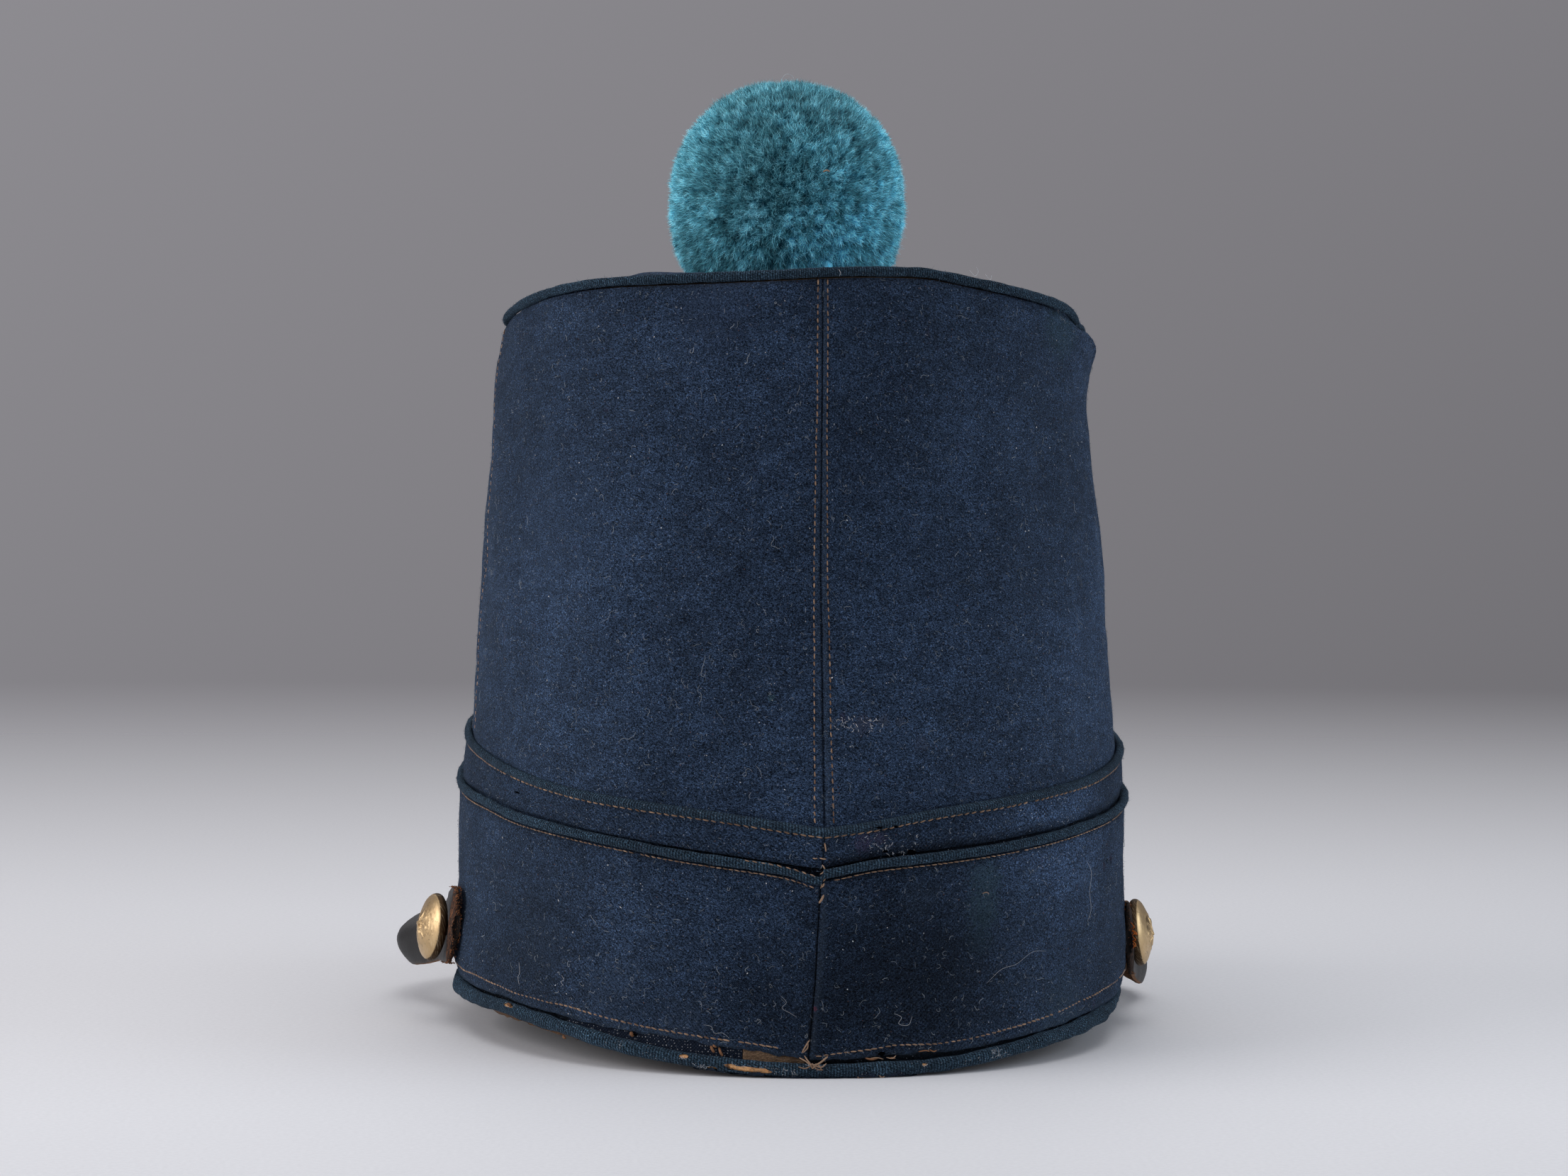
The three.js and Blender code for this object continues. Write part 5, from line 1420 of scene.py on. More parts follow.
# ---------------------------------------------------------------------- buttons
def button(name, node, x, y, z, up, back, side, shank, seed):
    """A domed button with a worn rosette inside a ring of small beads."""
    prof = np.array([
        (0.0, -shank), (1.2, -shank), (1.8, 0.2 - shank), (1.8, -1.4), (1.9, -0.5), (2.6, -0.1), (4.6, -0.1), (7.0, 0.0), (7.7, 0.12), (8.15, 0.45),
        (8.38, 0.95), (8.38, 1.45), (8.18, 1.98), (7.80, 2.45), (7.30, 2.84),
    ])
    r2 = np.linspace(6.9, 0.0, 44)
    h2 = np.interp(r2, [0, 1.2, 2.4, 3.6, 4.8, 5.8, 6.6, 7.3], [4.80, 4.76, 4.62, 4.36, 3.96, 3.56, 3.20, 2.84])
    prof = np.concatenate([prof, np.stack([r2, h2], -1)])
    n = 144
    th = np.arange(n) * 2 * math.pi / n
    R_, T = np.meshgrid(prof[:, 0], th, indexing="ij")
    H = np.broadcast_to(prof[:, 1:2], R_.shape).copy()
    face = np.arange(len(prof))[:, None] >= 15
    petals = np.cos(8 * T)
    reach = 2.9 + 0.85 * petals
    rosette = smooth(0.4, -0.3, R_ - reach) * (0.17 + 0.09 * np.cos(16 * T) - 0.15 * bell(np.sin(4 * T), 0.16) * smooth(0.8, 2.0, R_))
    core = 0.20 * smooth(1.25, 0.9, R_) - 0.16 * bell(R_ - 1.38, 0.22)
    beads = 0.09 * np.maximum(0, np.cos(34 * T)) * bell(R_ - 4.55, 0.22)
    rim = 0.0 * R_
    rng = np.random.default_rng(seed)
    pts = np.stack([R_ * np.cos(T), R_ * np.sin(T), 0 * R_], -1)
    worn = 0.98 + 0.34 * waves(pts, 4.0, seed)
    relief = (rosette + core + beads + rim) * worn * face + 0.012 * waves(pts, 1.2, seed + 1) * face
    # a soft knock or two in the thin sheet
    relief = relief - 0.30 * bell(np.hypot(pts[..., 0] - 2.6, pts[..., 1] + 3.1) / 1.9, 1.0) * face
    H = H + relief
    # low: the relief's hollows as patina, and the rim's side and back as painted shade
    low = np.clip(0.75 - relief / 0.16, 0, 1) * face * smooth(4.9, 3.9, R_) * 0.62 + 1.0 * (np.arange(len(prof))[:, None] < 13) + 0 * R_
    up_, bk = math.radians(up), math.radians(back)
    out = np.array([side * math.cos(up_) * math.cos(bk), math.cos(up_) * math.sin(bk), math.sin(up_)])
    e1 = unit(np.cross(out, [0, 0, 1.0]))
    e2 = np.cross(out, e1)
    P = np.array([x, y, z]) + (R_ * np.cos(T))[..., None] * e1 + (R_ * np.sin(T))[..., None] * e2 + H[..., None] * out
    f, corners = grid_faces(len(prof), n, False, True)
    uvs = grid_uv(corners, np.linspace(0, 54, n + 1), np.cumsum(np.concatenate([[0], np.hypot(*np.diff(prof, axis=0).T)])))
    # both poles have radius 0, so the first and last rings are single points
    V = P.reshape(-1, 3)
    keep = np.concatenate([[0], np.arange(n, (len(prof) - 1) * n), [(len(prof) - 1) * n]])
    remap = np.zeros(len(V), int)
    remap[keep] = np.arange(len(keep))
    remap[:n] = 0
    remap[(len(prof) - 1) * n:] = len(keep) - 1
    lo = low.ravel()[keep] if low.shape == R_.shape else np.broadcast_to(low, R_.shape).ravel()[keep]
    f = remap[f]
    first, last = f[:, 0] == f[:, 1], f[:, 2] == f[:, 3]
    f4 = f.copy()
    f4[first] = np.stack([f[first, 0], f[first, 2], f[first, 3], np.full(first.sum(), -1)], -1)
    f4[last] = np.stack([f[last, 0], f[last, 1], f[last, 2], np.full(last.sum(), -1)], -1)
    uv4 = uvs.reshape(-1, 4, 2)
    parts = []
    for i in range(len(f4)):
        parts.append(uv4[i, [0, 2, 3]] if first[i] else uv4[i, [0, 1, 2]] if last[i] else uv4[i])
    ob = make(name, V[keep], f4, brass_mat, (node,), np.concatenate(parts), None, {"low": lo})
    ob.data.flip_normals() if _inside_out(ob) else None
    return ob


def _inside_out(ob):
    me = ob.data
    v = np.zeros(len(me.vertices) * 3)
    me.vertices.foreach_get("co", v)
    v = v.reshape(-1, 3)
    me.calc_loop_triangles()
    t = np.zeros(len(me.loop_triangles) * 3, np.int32)
    me.loop_triangles.foreach_get("vertices", t)
    a, b, c = (v[t.reshape(-1, 3)[:, i]] - v.mean(0) for i in range(3))
    return (a * np.cross(b, c)).sum() < 0


button("button_left_brass", "button_left", 88.3, 11.0, 13.8, 10.0, 17.0, 1.0, 4.4, 7)
button("button_right_brass", "button_right", -84.9, 16.0, 13.4, 8.5, 14.0, -1.0, 2.6, 9)


# --------------------------------------------------------------------- stitches
def capsule(sides=5, rings=5):
    """A short twisted stitch: x along -0.5..0.5, y and z of radius 1, with ends."""
    x = np.concatenate([[-0.5], -0.5 * np.cos(np.linspace(0.32, math.pi - 0.32, rings)), [0.5]])
    prof = np.clip(1 - np.abs(2 * x) ** 4, 0, 1) ** 0.5
    a = np.arange(sides) * 2 * math.pi / sides
    V = [(x[0], 0, 0)]
    for i in range(1, len(x) - 1):
        for k in a:
            r = prof[i] * (1 + 0.16 * math.cos(2 * k - 9.0 * x[i]))
            V.append((x[i], r * math.cos(k), r * math.sin(k)))
    V.append((x[-1], 0, 0))
    F = []
    for k in range(sides):
        F.append((0, 1 + (k + 1) % sides, 1 + k, -1))
    for i in range(rings - 1):
        for k in range(sides):
            b = 1 + i * sides
            F.append((b + k, b + (k + 1) % sides, b + sides + (k + 1) % sides, b + sides + k))
    b = 1 + (rings - 1) * sides
    for k in range(sides):
        F.append((len(V) - 1, b + k, b + (k + 1) % sides, -1))
    return np.array(V, float), np.array(F)


CAP_V, CAP_F = capsule()


def stitch_row(path, normal, pitch, length, radius, seed, slant=0.0, lift=0.12, skip=0.0, keep=None):
    """Stitches along a polyline (n, 3) with normals (n, 3)."""
    rng = np.random.default_rng(seed)
    d = np.concatenate([[0], np.cumsum(np.linalg.norm(np.diff(path, axis=0), axis=1))])
    n = max(1, int(d[-1] / pitch))
    s = (np.arange(n) + 0.5) * d[-1] / n + rng.normal(0, 0.05 * pitch, n)
    if skip:
        s = s[rng.random(n) > skip]
    if keep is not None:
        s = s[keep(s / d[-1])]
    n = len(s)
    at = np.stack([np.interp(s, d, path[:, i]) for i in range(3)], -1)
    nr = unit(np.stack([np.interp(s, d, normal[:, i]) for i in range(3)], -1))
    a2 = np.stack([np.interp(s + 0.3, d, path[:, i]) - np.interp(s - 0.3, d, path[:, i]) for i in range(3)], -1)
    t = unit(a2 - nr * (a2 * nr).sum(-1, keepdims=True))
    b = np.cross(nr, t)
    tilt = np.interp(s, d, slant) if np.ndim(slant) else slant
    turn = tilt + rng.normal(0, 0.07, n)
    t2 = t * np.cos(turn)[:, None] + b * np.sin(turn)[:, None]
    b2 = np.cross(nr, t2)
    Lk = length * rng.uniform(0.88, 1.10, n)
    rk = radius * rng.uniform(0.86, 1.14, n)
    x, y, z = CAP_V.T
    hump = lift - (lift + 0.16) * (2 * x) ** 2
    V = (at[:, None] + t2[:, None] * (x[None, :, None] * Lk[:, None, None]) + b2[:, None] * (y[None, :, None] * rk[:, None, None])
         + nr[:, None] * (z[None, :, None] * rk[:, None, None] * 0.85 + hump[None, :, None]))
    F = np.where(CAP_F[None] >= 0, CAP_F[None] + (np.arange(n) * len(CAP_V))[:, None, None], -1)
    tint = np.repeat(np.clip(rng.normal(0.5, 0.22, n), 0, 1), len(CAP_V))
    return V.reshape(-1, 3), F.reshape(-1, 4), tint


def add_stitches(name, rows, mat=None):
    V, F, counts = gather([(r[0], r[1]) for r in rows])
    return make(name, V, F, mat or stitch_mat, attrs={"tint": np.concatenate([r[2] for r in rows])})


# along the back seam
zs = np.linspace(54.6, 178.8, 400)
rows_ = []
for side_fn, seed in ((row_left, 201), (row_right, 202)):
    wob = 0.07 * waves(np.stack([zs, 0 * zs, 0 * zs], -1), 17, seed)
    col = angle_at(side_fn(zs) + wob)
    ang = follow(col, zs)
    off = crown_relief(col, zs)
    rows_.append(stitch_row(shell(ang, zs, off), outward(ang, zs), 1.78, 1.50, 0.18, seed, 0.05, 0.13))
# along the two side seams
for a0, seed in ((SIDE_SEAMS[0], 203), (SIDE_SEAMS[1], 204)):
    for dq in (-2.0, 2.0):
        top_z = float(line("top", a0)) - 3.0
        zc = np.linspace(63.0, top_z, 300)
        col = angle_at(arc(a0) + dq + 0 * zc)
        rows_.append(stitch_row(shell(col, zc, crown_relief(col, zc)), outward(col, zc), 1.78, 1.4, 0.18, seed + int(dq * 3), 0.05, 0.12, 0.04))
add_stitches("seam_stitches", rows_)

# round the upper band, under its rolled edge
aa = np.linspace(-89.9, 269.9, 2600)
zb = line("band", aa) + FOLD_UP - FOLD_STITCH + 0.05 * waves(np.stack([arc(aa), 0 * aa, 0 * aa], -1), 15, 211)
off = 1.45 + 0.62 * bell(FOLD_STITCH - 0.95, 0.78) - 0.30 + band_wave(aa, zb, 60)
rows_ = [stitch_row(shell(follow(aa, zb), zb, off), outward(aa, zb), 1.9, 1.66, 0.20, 212, np.where(aa < 90, -0.16, 0.16), 0.16, 0.02)]
# under the band's welt, closer, and a sparse row above it left of the seam
zb = line("welt", aa) - WELT_R - 0.55 - 1.35 * bell(np.minimum(arc(aa), 0) / 5.0, 1.0) * (arc(aa) < 0.4)
rows_.append(stitch_row(shell(aa, zb, BAND_OFF + 0.15), outward(aa, zb), 1.45, 1.30, 0.15, 213, -0.10, 0.06, 0.05))
am = np.linspace(79.5, 89.6, 160)
zm = line("welt", am) + 1.0 - 1.2 * bell(arc(am) / 5.0, 1.0)
rows_.append(stitch_row(shell(am, zm, WELT_OFF + 0.65), outward(am, zm), 1.75, 1.35, 0.15, 214, -0.2, 0.08, 0.12))
add_stitches("band_stitches", rows_)

# along the lower edge of the lower band
rows_ = []
for a0, a1, seed in ((-89.9, 85.6, 221), (90.8, 269.9, 222)):
    al = np.linspace(a0, a1, 1500)
    zl = stitch_z(al) + 0.06 * waves(np.stack([arc(al), 0 * al, 0 * al], -1), 13, seed)
    off = BAND_OFF + lower_relief(al, zl)
    rows_.append(stitch_row(shell(follow(al, zl), zl, off), outward(al, zl), 1.62, 1.80, 0.185, seed, -0.16, 0.16, 0.01))
add_stitches("rim_stitches", rows_)

# hand stitches that close the band's seam
hand = []
for (a0, z0, a1, z1, r) in ((90.45, 50.9, 90.6, 49.0, 0.17), (89.2, 47.5, 89.7, 47.45, 0.13), (89.95, 47.5, 90.6, 47.3, 0.16), (90.2, 46.0, 90.5, 45.0, 0.15),
                            (90.5, 44.8, 90.0, 43.9, 0.15), (90.55, 43.0, 90.25, 42.3, 0.13), (90.4, 41.9, 90.2, 41.0, 0.16), (90.35, 39.2, 89.9, 37.4, 0.26)):
    t = np.linspace(0, 1, 12)
    a_, z_ = a0 + (a1 - a0) * t, z0 + (z1 - z0) * t
    p = shell(a_, z_, 1.75 + 0.45 * np.sin(math.pi * t))
    v, f = tube(p, r, 8, 0.6)
    hand.append((v, f, np.full(len(v), 0.75)))
add_stitches("hand_stitches", hand)


# ------------------------------------------------------------------------- lint
def curls(n, seed, zlo, zhi, off, length, radius, spread=None):
    """Curly fibres lying on the cloth."""
    rng = np.random.default_rng(seed)
    parts = []
    tints = []
    for _ in range(n):
        a = rng.uniform(-90, 270) if spread is None else rng.uniform(*spread)
        zl, zh = zlo(a), zhi(a)
        z = rng.uniform(zl, zh)
        L_ = length * rng.lognormal(0, 0.5)
        k = max(7, min(14, int(L_ / 0.30)))
        ds = L_ / k
        head = rng.uniform(0, 2 * math.pi)
        turn = rng.normal(0, 0.35)
        u_, w_ = [arc(a)], [z]
        for _j in range(k):
            turn = 0.76 * turn + rng.normal(0, 0.48)
            head += turn * ds * 1.9
            u_.append(u_[-1] + ds * math.cos(head))
            w_.append(w_[-1] + ds * math.sin(head))
        u_, w_ = np.array(u_), np.array(w_)
        if w_.min() < zl - 1 or w_.max() > zh + 1 or abs(u_).max() > _arc[-1] - 2:
            continue
        an = angle_at(u_)
        rise = 0.16 + 0.22 * np.abs(np.sin(np.linspace(0, math.pi * rng.uniform(1, 2.6), len(u_)) + rng.uniform(0, 3)))
        p = shell(an, w_, off(an, w_) + rise)
        v, f = tube(p, radius * rng.uniform(0.7, 1.25), 3, 0.6)
        parts.append((v, f))
        tints.append(np.full(len(v), rng.random()))
    V, F, _c = gather(parts)
    return V, F, np.concatenate(tints)


def ribbons(n, seed, a0, a1, zlo, zhi, off, length, spread, wide, k=8, curl=1.0, rise=(0.10, 0.24)):
    """Fine curly fibres lying on the cloth, as narrow strips that face outwards."""
    rng = np.random.default_rng(seed)
    s0 = rng.uniform(arc(a0), arc(a1), n)
    ang0 = angle_at(s0)
    lo, hi = zlo(ang0), zhi(ang0)
    z0 = lo + (hi - lo) * rng.random(n)
    L_ = np.clip(length * rng.lognormal(0, spread, n), 0.25, 5.5)
    ds = (L_ / (k - 1))[:, None]
    turn = rng.normal(0, 1, (n, k - 1))
    for j in range(1, k - 1):
        turn[:, j] = 0.72 * turn[:, j - 1] + 0.6 * turn[:, j]
    bend = curl * rng.lognormal(0, 0.35, n)[:, None]
    head = rng.uniform(0, 2 * math.pi, n)[:, None] + np.cumsum(turn * bend * np.minimum(ds, 0.4) * 2.6, axis=1)
    u = np.concatenate([s0[:, None], s0[:, None] + np.cumsum(ds * np.cos(head), 1)], 1)
    w_ = np.concatenate([z0[:, None], z0[:, None] + np.cumsum(ds * np.sin(head), 1)], 1)
    u = np.clip(u, _arc[0] + 0.5, _arc[-1] - 0.5)
    w_ = np.clip(w_, lo[:, None] - 0.6, hi[:, None] + 0.6)
    an = angle_at(u)
    up = rise[0] + rise[1] * np.abs(np.sin(np.linspace(0, 1, k)[None] * rng.uniform(2, 7, n)[:, None] + rng.uniform(0, 3, n)[:, None]))
    p = shell(an, w_, off(an, w_) + up)
    nrm = outward(an, w_)
    tang = unit(np.gradient(p, axis=1) + 1e-9)
    thick = (wide * rng.uniform(0.6, 1.35, n))[:, None] * np.clip(1.25 - np.abs(np.linspace(-1, 1, k))[None] ** 6, 0.3, 1)
    side = unit(np.cross(tang, nrm + 0.25 * unit(rng.normal(size=(n, 1, 3))))) * thick[..., None] / 2
    V = np.stack([p - side, p + side], 2).reshape(-1, 3)
    base = (np.arange(n) * 2 * k)[:, None] + 2 * np.arange(k - 1)[None]
    F = np.stack([base, base + 1, base + 3, base + 2], -1).reshape(-1, 4)
    tint = np.repeat(rng.random(n), 2 * k)
    return V, F, tint, np.repeat(nrm.reshape(-1, 3), 2, 0)


on_crown = lambda a, z: crown_relief(a, z)
on_band = lambda a, z: BAND_OFF + lower_relief(a, z)
V1 = curls(150, 301, lambda a: float(line("band", a)) + 2, lambda a: float(line("top", a)) - 4, on_crown, 3.4, 0.045)
V2 = curls(60, 302, lambda a: 8.0, lambda a: float(line("welt", a)) - 3.5, on_band, 3.2, 0.042)
V, F, _c = gather([(V1[0], V1[1]), (V2[0], V2[1])])
make("lint_fibres", V, F, lint_pale, attrs={"tint": np.concatenate([V1[2], V2[2]])})


def heap(name, parts, mat):
    """Several sets of ribbons as one mesh."""
    V, F, _c = gather([(p[0], p[1]) for p in parts])
    return make(name, V, F[:, :4], mat, attrs={"tint": np.concatenate([p[2] for p in parts])}, normals=np.concatenate([p[3] for p in parts]))


over_band = lambda a: line("band", a) + 1.5
under_top = lambda a: line("top", a) - 3.2
above_rim = lambda a: low_edge(a) + 0.8
under_welt = lambda a: line("welt", a) - 2.0
over_welt = lambda a: line("welt", a) + 2.2
under_fold = lambda a: line("band", a) - 2.0
flat_band = lambda a, z: 1.55 + 0 * z
heap("lint_curls", [
    ribbons(3500, 331, -89, 269, over_band, under_top, on_crown, 1.35, 0.42, 0.080),
    ribbons(1150, 332, -89, 269, above_rim, under_welt, on_band, 1.25, 0.42, 0.078),
    ribbons(260, 333, -89, 269, over_welt, under_fold, flat_band, 1.0, 0.40, 0.09),
    ribbons(70, 334, 40, 84, above_rim, lambda a: 24.0 + 0 * a, on_band, 1.3, 0.40, 0.080),
    ribbons(45, 335, 96, 140, above_rim, lambda a: 26.0 + 0 * a, on_band, 1.3, 0.42, 0.080),
], lint_pale)
heap("lint_specks", [
    ribbons(230, 341, -89, 269, over_band, under_top, on_crown, 0.34, 0.25, 0.24, 3, 0.3, (0.14, 0.0)),
    ribbons(130, 342, -89, 269, above_rim, under_welt, on_band, 0.34, 0.25, 0.24, 3, 0.3, (0.14, 0.0)),
    ribbons(46, 343, 92, 100, lambda a: 76.0 + 0 * a, lambda a: 79.0 + 0 * a, on_crown, 0.75, 0.3, 0.085, 5, 1.0, (0.10, 0.2)),
    ribbons(40, 344, 96, 104, lambda a: 48.0 + 0 * a, lambda a: 52.5 + 0 * a, flat_band, 0.6, 0.3, 0.085, 5, 1.0, (0.10, 0.2)),
], lint_white)

# single threads, hairs and knots: each is (radius, points of angle, height and distance out)
def strands(name, lines, mat, seed=0, sides=6):
    rng = np.random.default_rng(seed)
    parts, tints = [], []
    for radius, pts in lines:
        pts = np.asarray(pts, float)
        p = spline(shell(pts[:, 0], pts[:, 1], pts[:, 2]), max(12, 7 * len(pts)))
        v, f = tube(p, radius, sides, 0.55)
        parts.append((v, f))
        tints.append(np.full(len(v), np.clip(rng.normal(0.6, 0.2), 0, 1)))
    V, F, _c = gather(parts)
    return make(name, V, F, mat, attrs={"tint": np.concatenate(tints)})


strands("loose_threads", [
    (0.16, [(88.75, 6.6, 2.2), (88.2, 5.3, 2.8), (87.75, 3.8, 2.5)]), (0.16, [(88.5, 6.4, 2.6), (88.5, 5.0, 2.4), (87.9, 3.9, 2.8)]),
    (0.19, [(88.1, 3.1, 2.3), (88.6, 2.0, 3.2), (89.1, 1.1, 3.75), (89.6, 1.5, 3.5), (90.1, 0.4, 3.8)]),
    (0.21, [(89.2, 1.0, 3.75), (90.0, 1.8, 3.3), (90.9, 3.0, 2.6)]), (0.15, [(88.9, 1.2, 3.8), (88.2, 0.6, 3.8), (87.3, 0.9, 3.55)]),
    (0.15, [(88.8, 1.3, 3.6), (88.2, 2.1, 3.1), (87.4, 2.7, 2.4)]), (0.14, [(89.2, 1.1, 3.85), (89.7, 0.4, 3.85), (90.3, 0.25, 3.7)]),
    (0.15, [(89.3, 1.2, 3.8), (90.1, 0.9, 3.8), (90.7, 1.6, 3.3)]), (0.20, [(88.8, 0.9, 3.6), (89.0, 1.6, 3.9), (89.35, 1.2, 4.05), (89.1, 0.7, 3.9), (88.9, 1.3, 3.95)]),
    (0.12, [(94.9, -1.5, 3.2), (95.2, -2.0, 3.0), (95.7, -1.8, 3.1)]), (0.12, [(98.1, -1.4, 3.2), (98.5, -1.9, 3.0), (98.9, -1.6, 3.2)]),
    (0.13, [(97.0, 2.2, 1.6), (98.0, 2.4, 2.2), (98.9, 1.9, 1.8)]), (0.12, [(99.4, 2.3, 1.7), (100.2, 2.1, 2.3), (100.9, 2.6, 1.8)]),
    (0.10, [(115.3, 38.0, 2.2), (116.0, 38.2, 2.5), (116.6, 37.7, 2.2)]),
], stitch_mat, seed=351)
strands("tab_thread", [
    (0.17, [(165.6, 18.6, 3.6), (164.9, 17.6, 4.5), (165.5, 16.9, 3.7), (164.6, 16.2, 4.6), (165.2, 15.4, 4.0), (164.7, 14.6, 4.9), (165.4, 13.9, 3.9), (164.8, 13.0, 4.6), (165.2, 12.0, 4.1)]),
    (0.13, [(164.6, 17.0, 4.2), (164.3, 16.5, 5.1), (164.7, 15.9, 5.2), (164.9, 16.4, 4.3)]), (0.12, [(164.9, 14.4, 4.0), (164.4, 13.6, 5.0), (164.8, 12.9, 4.9), (165.0, 13.6, 4.1)]),
], orange_thread, 354)
strands("leather_bits", [
    (0.34, [(74.35, 4.5, 1.3), (74.6, 3.8, 1.9), (74.9, 3.0, 1.6)]), (0.32, [(75.6, 4.1, 1.3), (75.9, 3.2, 1.9), (76.2, 2.3, 1.6)]),
    (0.26, [(74.7, 4.7, 1.5), (74.95, 4.5, 2.0), (75.2, 4.2, 1.6)]), (0.42, [(60.8, 5.5, 1.2), (61.15, 5.2, 1.9), (61.3, 4.8, 1.4)]),
    (0.30, [(48.4, 2.4, 3.0), (48.7, 2.0, 3.3), (49.0, 1.9, 3.1)]), (0.40, [(34.3, 5.6, 2.9), (34.8, 5.75, 3.1), (35.3, 5.5, 2.9)]),
    (0.24, [(96.3, 2.2, 1.3), (97.1, 2.0, 1.9), (98.2, 2.2, 1.5)]), (0.22, [(100.0, 2.0, 1.4), (100.4, 2.1, 1.9), (100.8, 1.9, 1.5)]),
    (0.16, [(104.6, 3.1, 1.6), (105.6, 3.4, 2.2), (106.4, 3.0, 1.7)]), (0.15, [(106.4, 3.4, 1.6), (107.0, 3.0, 2.1), (107.6, 3.1, 1.7)]),
], raw_edge, 352)
long_hairs = [
    (0.034, [(141.2, 40.8, 2.0), (141.9, 38.5, 2.6), (142.1, 33.0, 2.2), (142.2, 28.5, 2.5), (141.6, 26.2, 2.1)]),
    (0.034, [(116.6, 17.2, 2.0), (119.2, 20.0, 2.5), (122.5, 20.6, 2.2), (126.0, 22.8, 2.5), (129.5, 22.2, 2.1)]),
    (0.032, [(36.8, 16.2, 2.4), (37.5, 13.9, 2.9), (36.6, 12.6, 2.4), (37.2, 11.0, 2.6)]),
    (0.032, [(47.2, 15.9, 2.1), (47.9, 15.0, 2.5), (47.1, 14.4, 2.2), (47.8, 13.7, 2.4)]),
    (0.036, [(84.8, 16.5, 2.0), (85.6, 15.1, 2.5), (85.0, 13.9, 2.2), (86.2, 12.7, 2.5), (87.1, 11.7, 2.1)]),
    (0.036, [(73.2, 9.2, 2.0), (74.6, 8.9, 2.5), (74.9, 7.6, 2.2), (76.3, 7.7, 2.5), (77.3, 6.5, 2.1)]),
    (0.036, [(100.6, 12.2, 2.0), (101.6, 11.3, 2.5), (101.2, 10.0, 2.3), (102.7, 9.6, 2.6), (103.4, 11.4, 2.1)]),
    (0.050, [(119.0, 180.6, 0.7), (119.9, 179.3, 1.3), (120.8, 180.4, 1.0), (120.4, 181.3, 0.9)]),
    (0.050, [(122.6, 179.6, 0.7), (123.4, 178.3, 1.3), (124.0, 179.3, 0.9)]),
    (0.050, [(93.3, 180.9, 0.7), (93.6, 180.0, 1.2), (93.4, 179.4, 0.8)]),
]
strands("long_hairs", long_hairs, lint_white, seed=353, sides=4)


def patches(name, spots_, mat):
    """Small ragged flat patches: (angle, height, out, half length, half height)."""
    rng = np.random.default_rng(361)
    parts = []
    for a0, z0, o0, hl, hh in spots_:
        th_ = np.arange(14) * 2 * math.pi / 14
        r_ = rng.uniform(0.65, 1.2, 14)
        u_ = arc(a0) + hl * r_ * np.cos(th_)
        w_ = z0 + hh * r_ * np.sin(th_)
        p = shell(angle_at(u_), w_, o0)
        parts.append((np.concatenate([shell(angle_at(arc(a0)), z0, o0)[None], p]), np.stack([np.zeros(14, int), 1 + (np.arange(14) + 1) % 14, 1 + np.arange(14), np.full(14, -1)], -1)))
    V, F, _c = gather(parts)
    return make(name, V, F, mat)


# near-black patches where small holes are worn in the cloth: painted shade inside them
patches("hole_shade_patches", [
    (103.0, 48.4, 1.95, 1.3, 0.75), (34.7, 55.8, 2.05, 1.2, 0.25), (151.7, 37.9, 2.05, 0.30, 0.75), (149.7, 38.6, 2.05, 0.28, 0.65), (98.6, 3.2, 2.2, 0.95, 0.55),
    (61.9, 5.3, 2.1, 0.7, 0.35), (97.9, 54.3, 2.25, 0.8, 0.3), (100.4, 54.4, 2.25, 0.5, 0.3), (98.9, 48.9, 1.95, 0.7, 0.35),
], hole_shade_mat)

# ------------------------------------------------------------------------- fuzz
def cord_skin(z, zc, r, off):
    dz = np.clip((z - zc) / r, -1, 1)
    return off + r * np.sqrt(np.maximum(1 - dz * dz, 0)), dz


def skin(a, z):
    """The outer cloth surface at an angle and height: how far out, and how much it faces up."""
    rim, welt, band, top = (line(k, a) for k in ("rim", "welt", "band", "top"))
    off, up = crown_relief(a, z), np.zeros_like(z)
    d = band + FOLD_UP - z
    fold = 1.45 + 0.62 * bell(d - 0.95, 0.78) - 0.34 * bell(d - FOLD_STITCH, 0.26) - 0.55 * bell(d, 0.26) + band_wave(a, z, 60)
    on = d > 0
    off = np.where(on, fold, off)
    up = np.where(on, smooth(0.9, 0.0, d) * 0.9, up)
    on = z < welt + WELT_R * 0.95
    o, u = cord_skin(z, welt, WELT_R, WELT_OFF)
    off, up = np.where(on, o, off), np.where(on, u, up)
    on = z < welt - WELT_R * 0.95
    off, up = np.where(on, BAND_OFF + lower_relief(a, z), off), np.where(on, 0, up)
    on = z < rim + PIPING_R * 0.95
    o, u = cord_skin(z, rim, PIPING_R, piping_off(a))
    off, up = np.where(on, o, off), np.where(on, u, up)
    on = z > top - 2 * TOP_WELT_R
    o, u = cord_skin(z, top - TOP_WELT_R, TOP_WELT_R, top_off(a))
    return np.where(on, o, off), np.where(on, u, up)


rng = np.random.default_rng(311)
n = 84000
s_ = rng.uniform(_arc[0], _arc[-1], n)
a_ = angle_at(s_)
lo_, hi_ = line("rim", a_) - PIPING_R * 0.7, line("top", a_) - 0.15
z_ = lo_ + (hi_ - lo_) * rng.random(n)
cordlike = rng.random(n)
z_ = np.where(cordlike < 0.06, line("top", a_) - TOP_WELT_R * (1 - np.sin(rng.uniform(-1.3, 1.5, n))), z_)
z_ = np.where((cordlike > 0.06) & (cordlike < 0.11), line("welt", a_) + WELT_R * 0.94 * np.sin(rng.uniform(-1.4, 1.4, n)), z_)
z_ = np.where((cordlike > 0.11) & (cordlike < 0.19), line("rim", a_) + PIPING_R * 0.94 * np.sin(rng.uniform(-1.4, 1.4, n)), z_)
z_ = np.where((cordlike > 0.19) & (cordlike < 0.24), line("band", a_) + FOLD_UP - rng.uniform(0, 2.2, n), z_)
off_, up_ = skin(a_, z_)
nrm = outward(a_, z_)
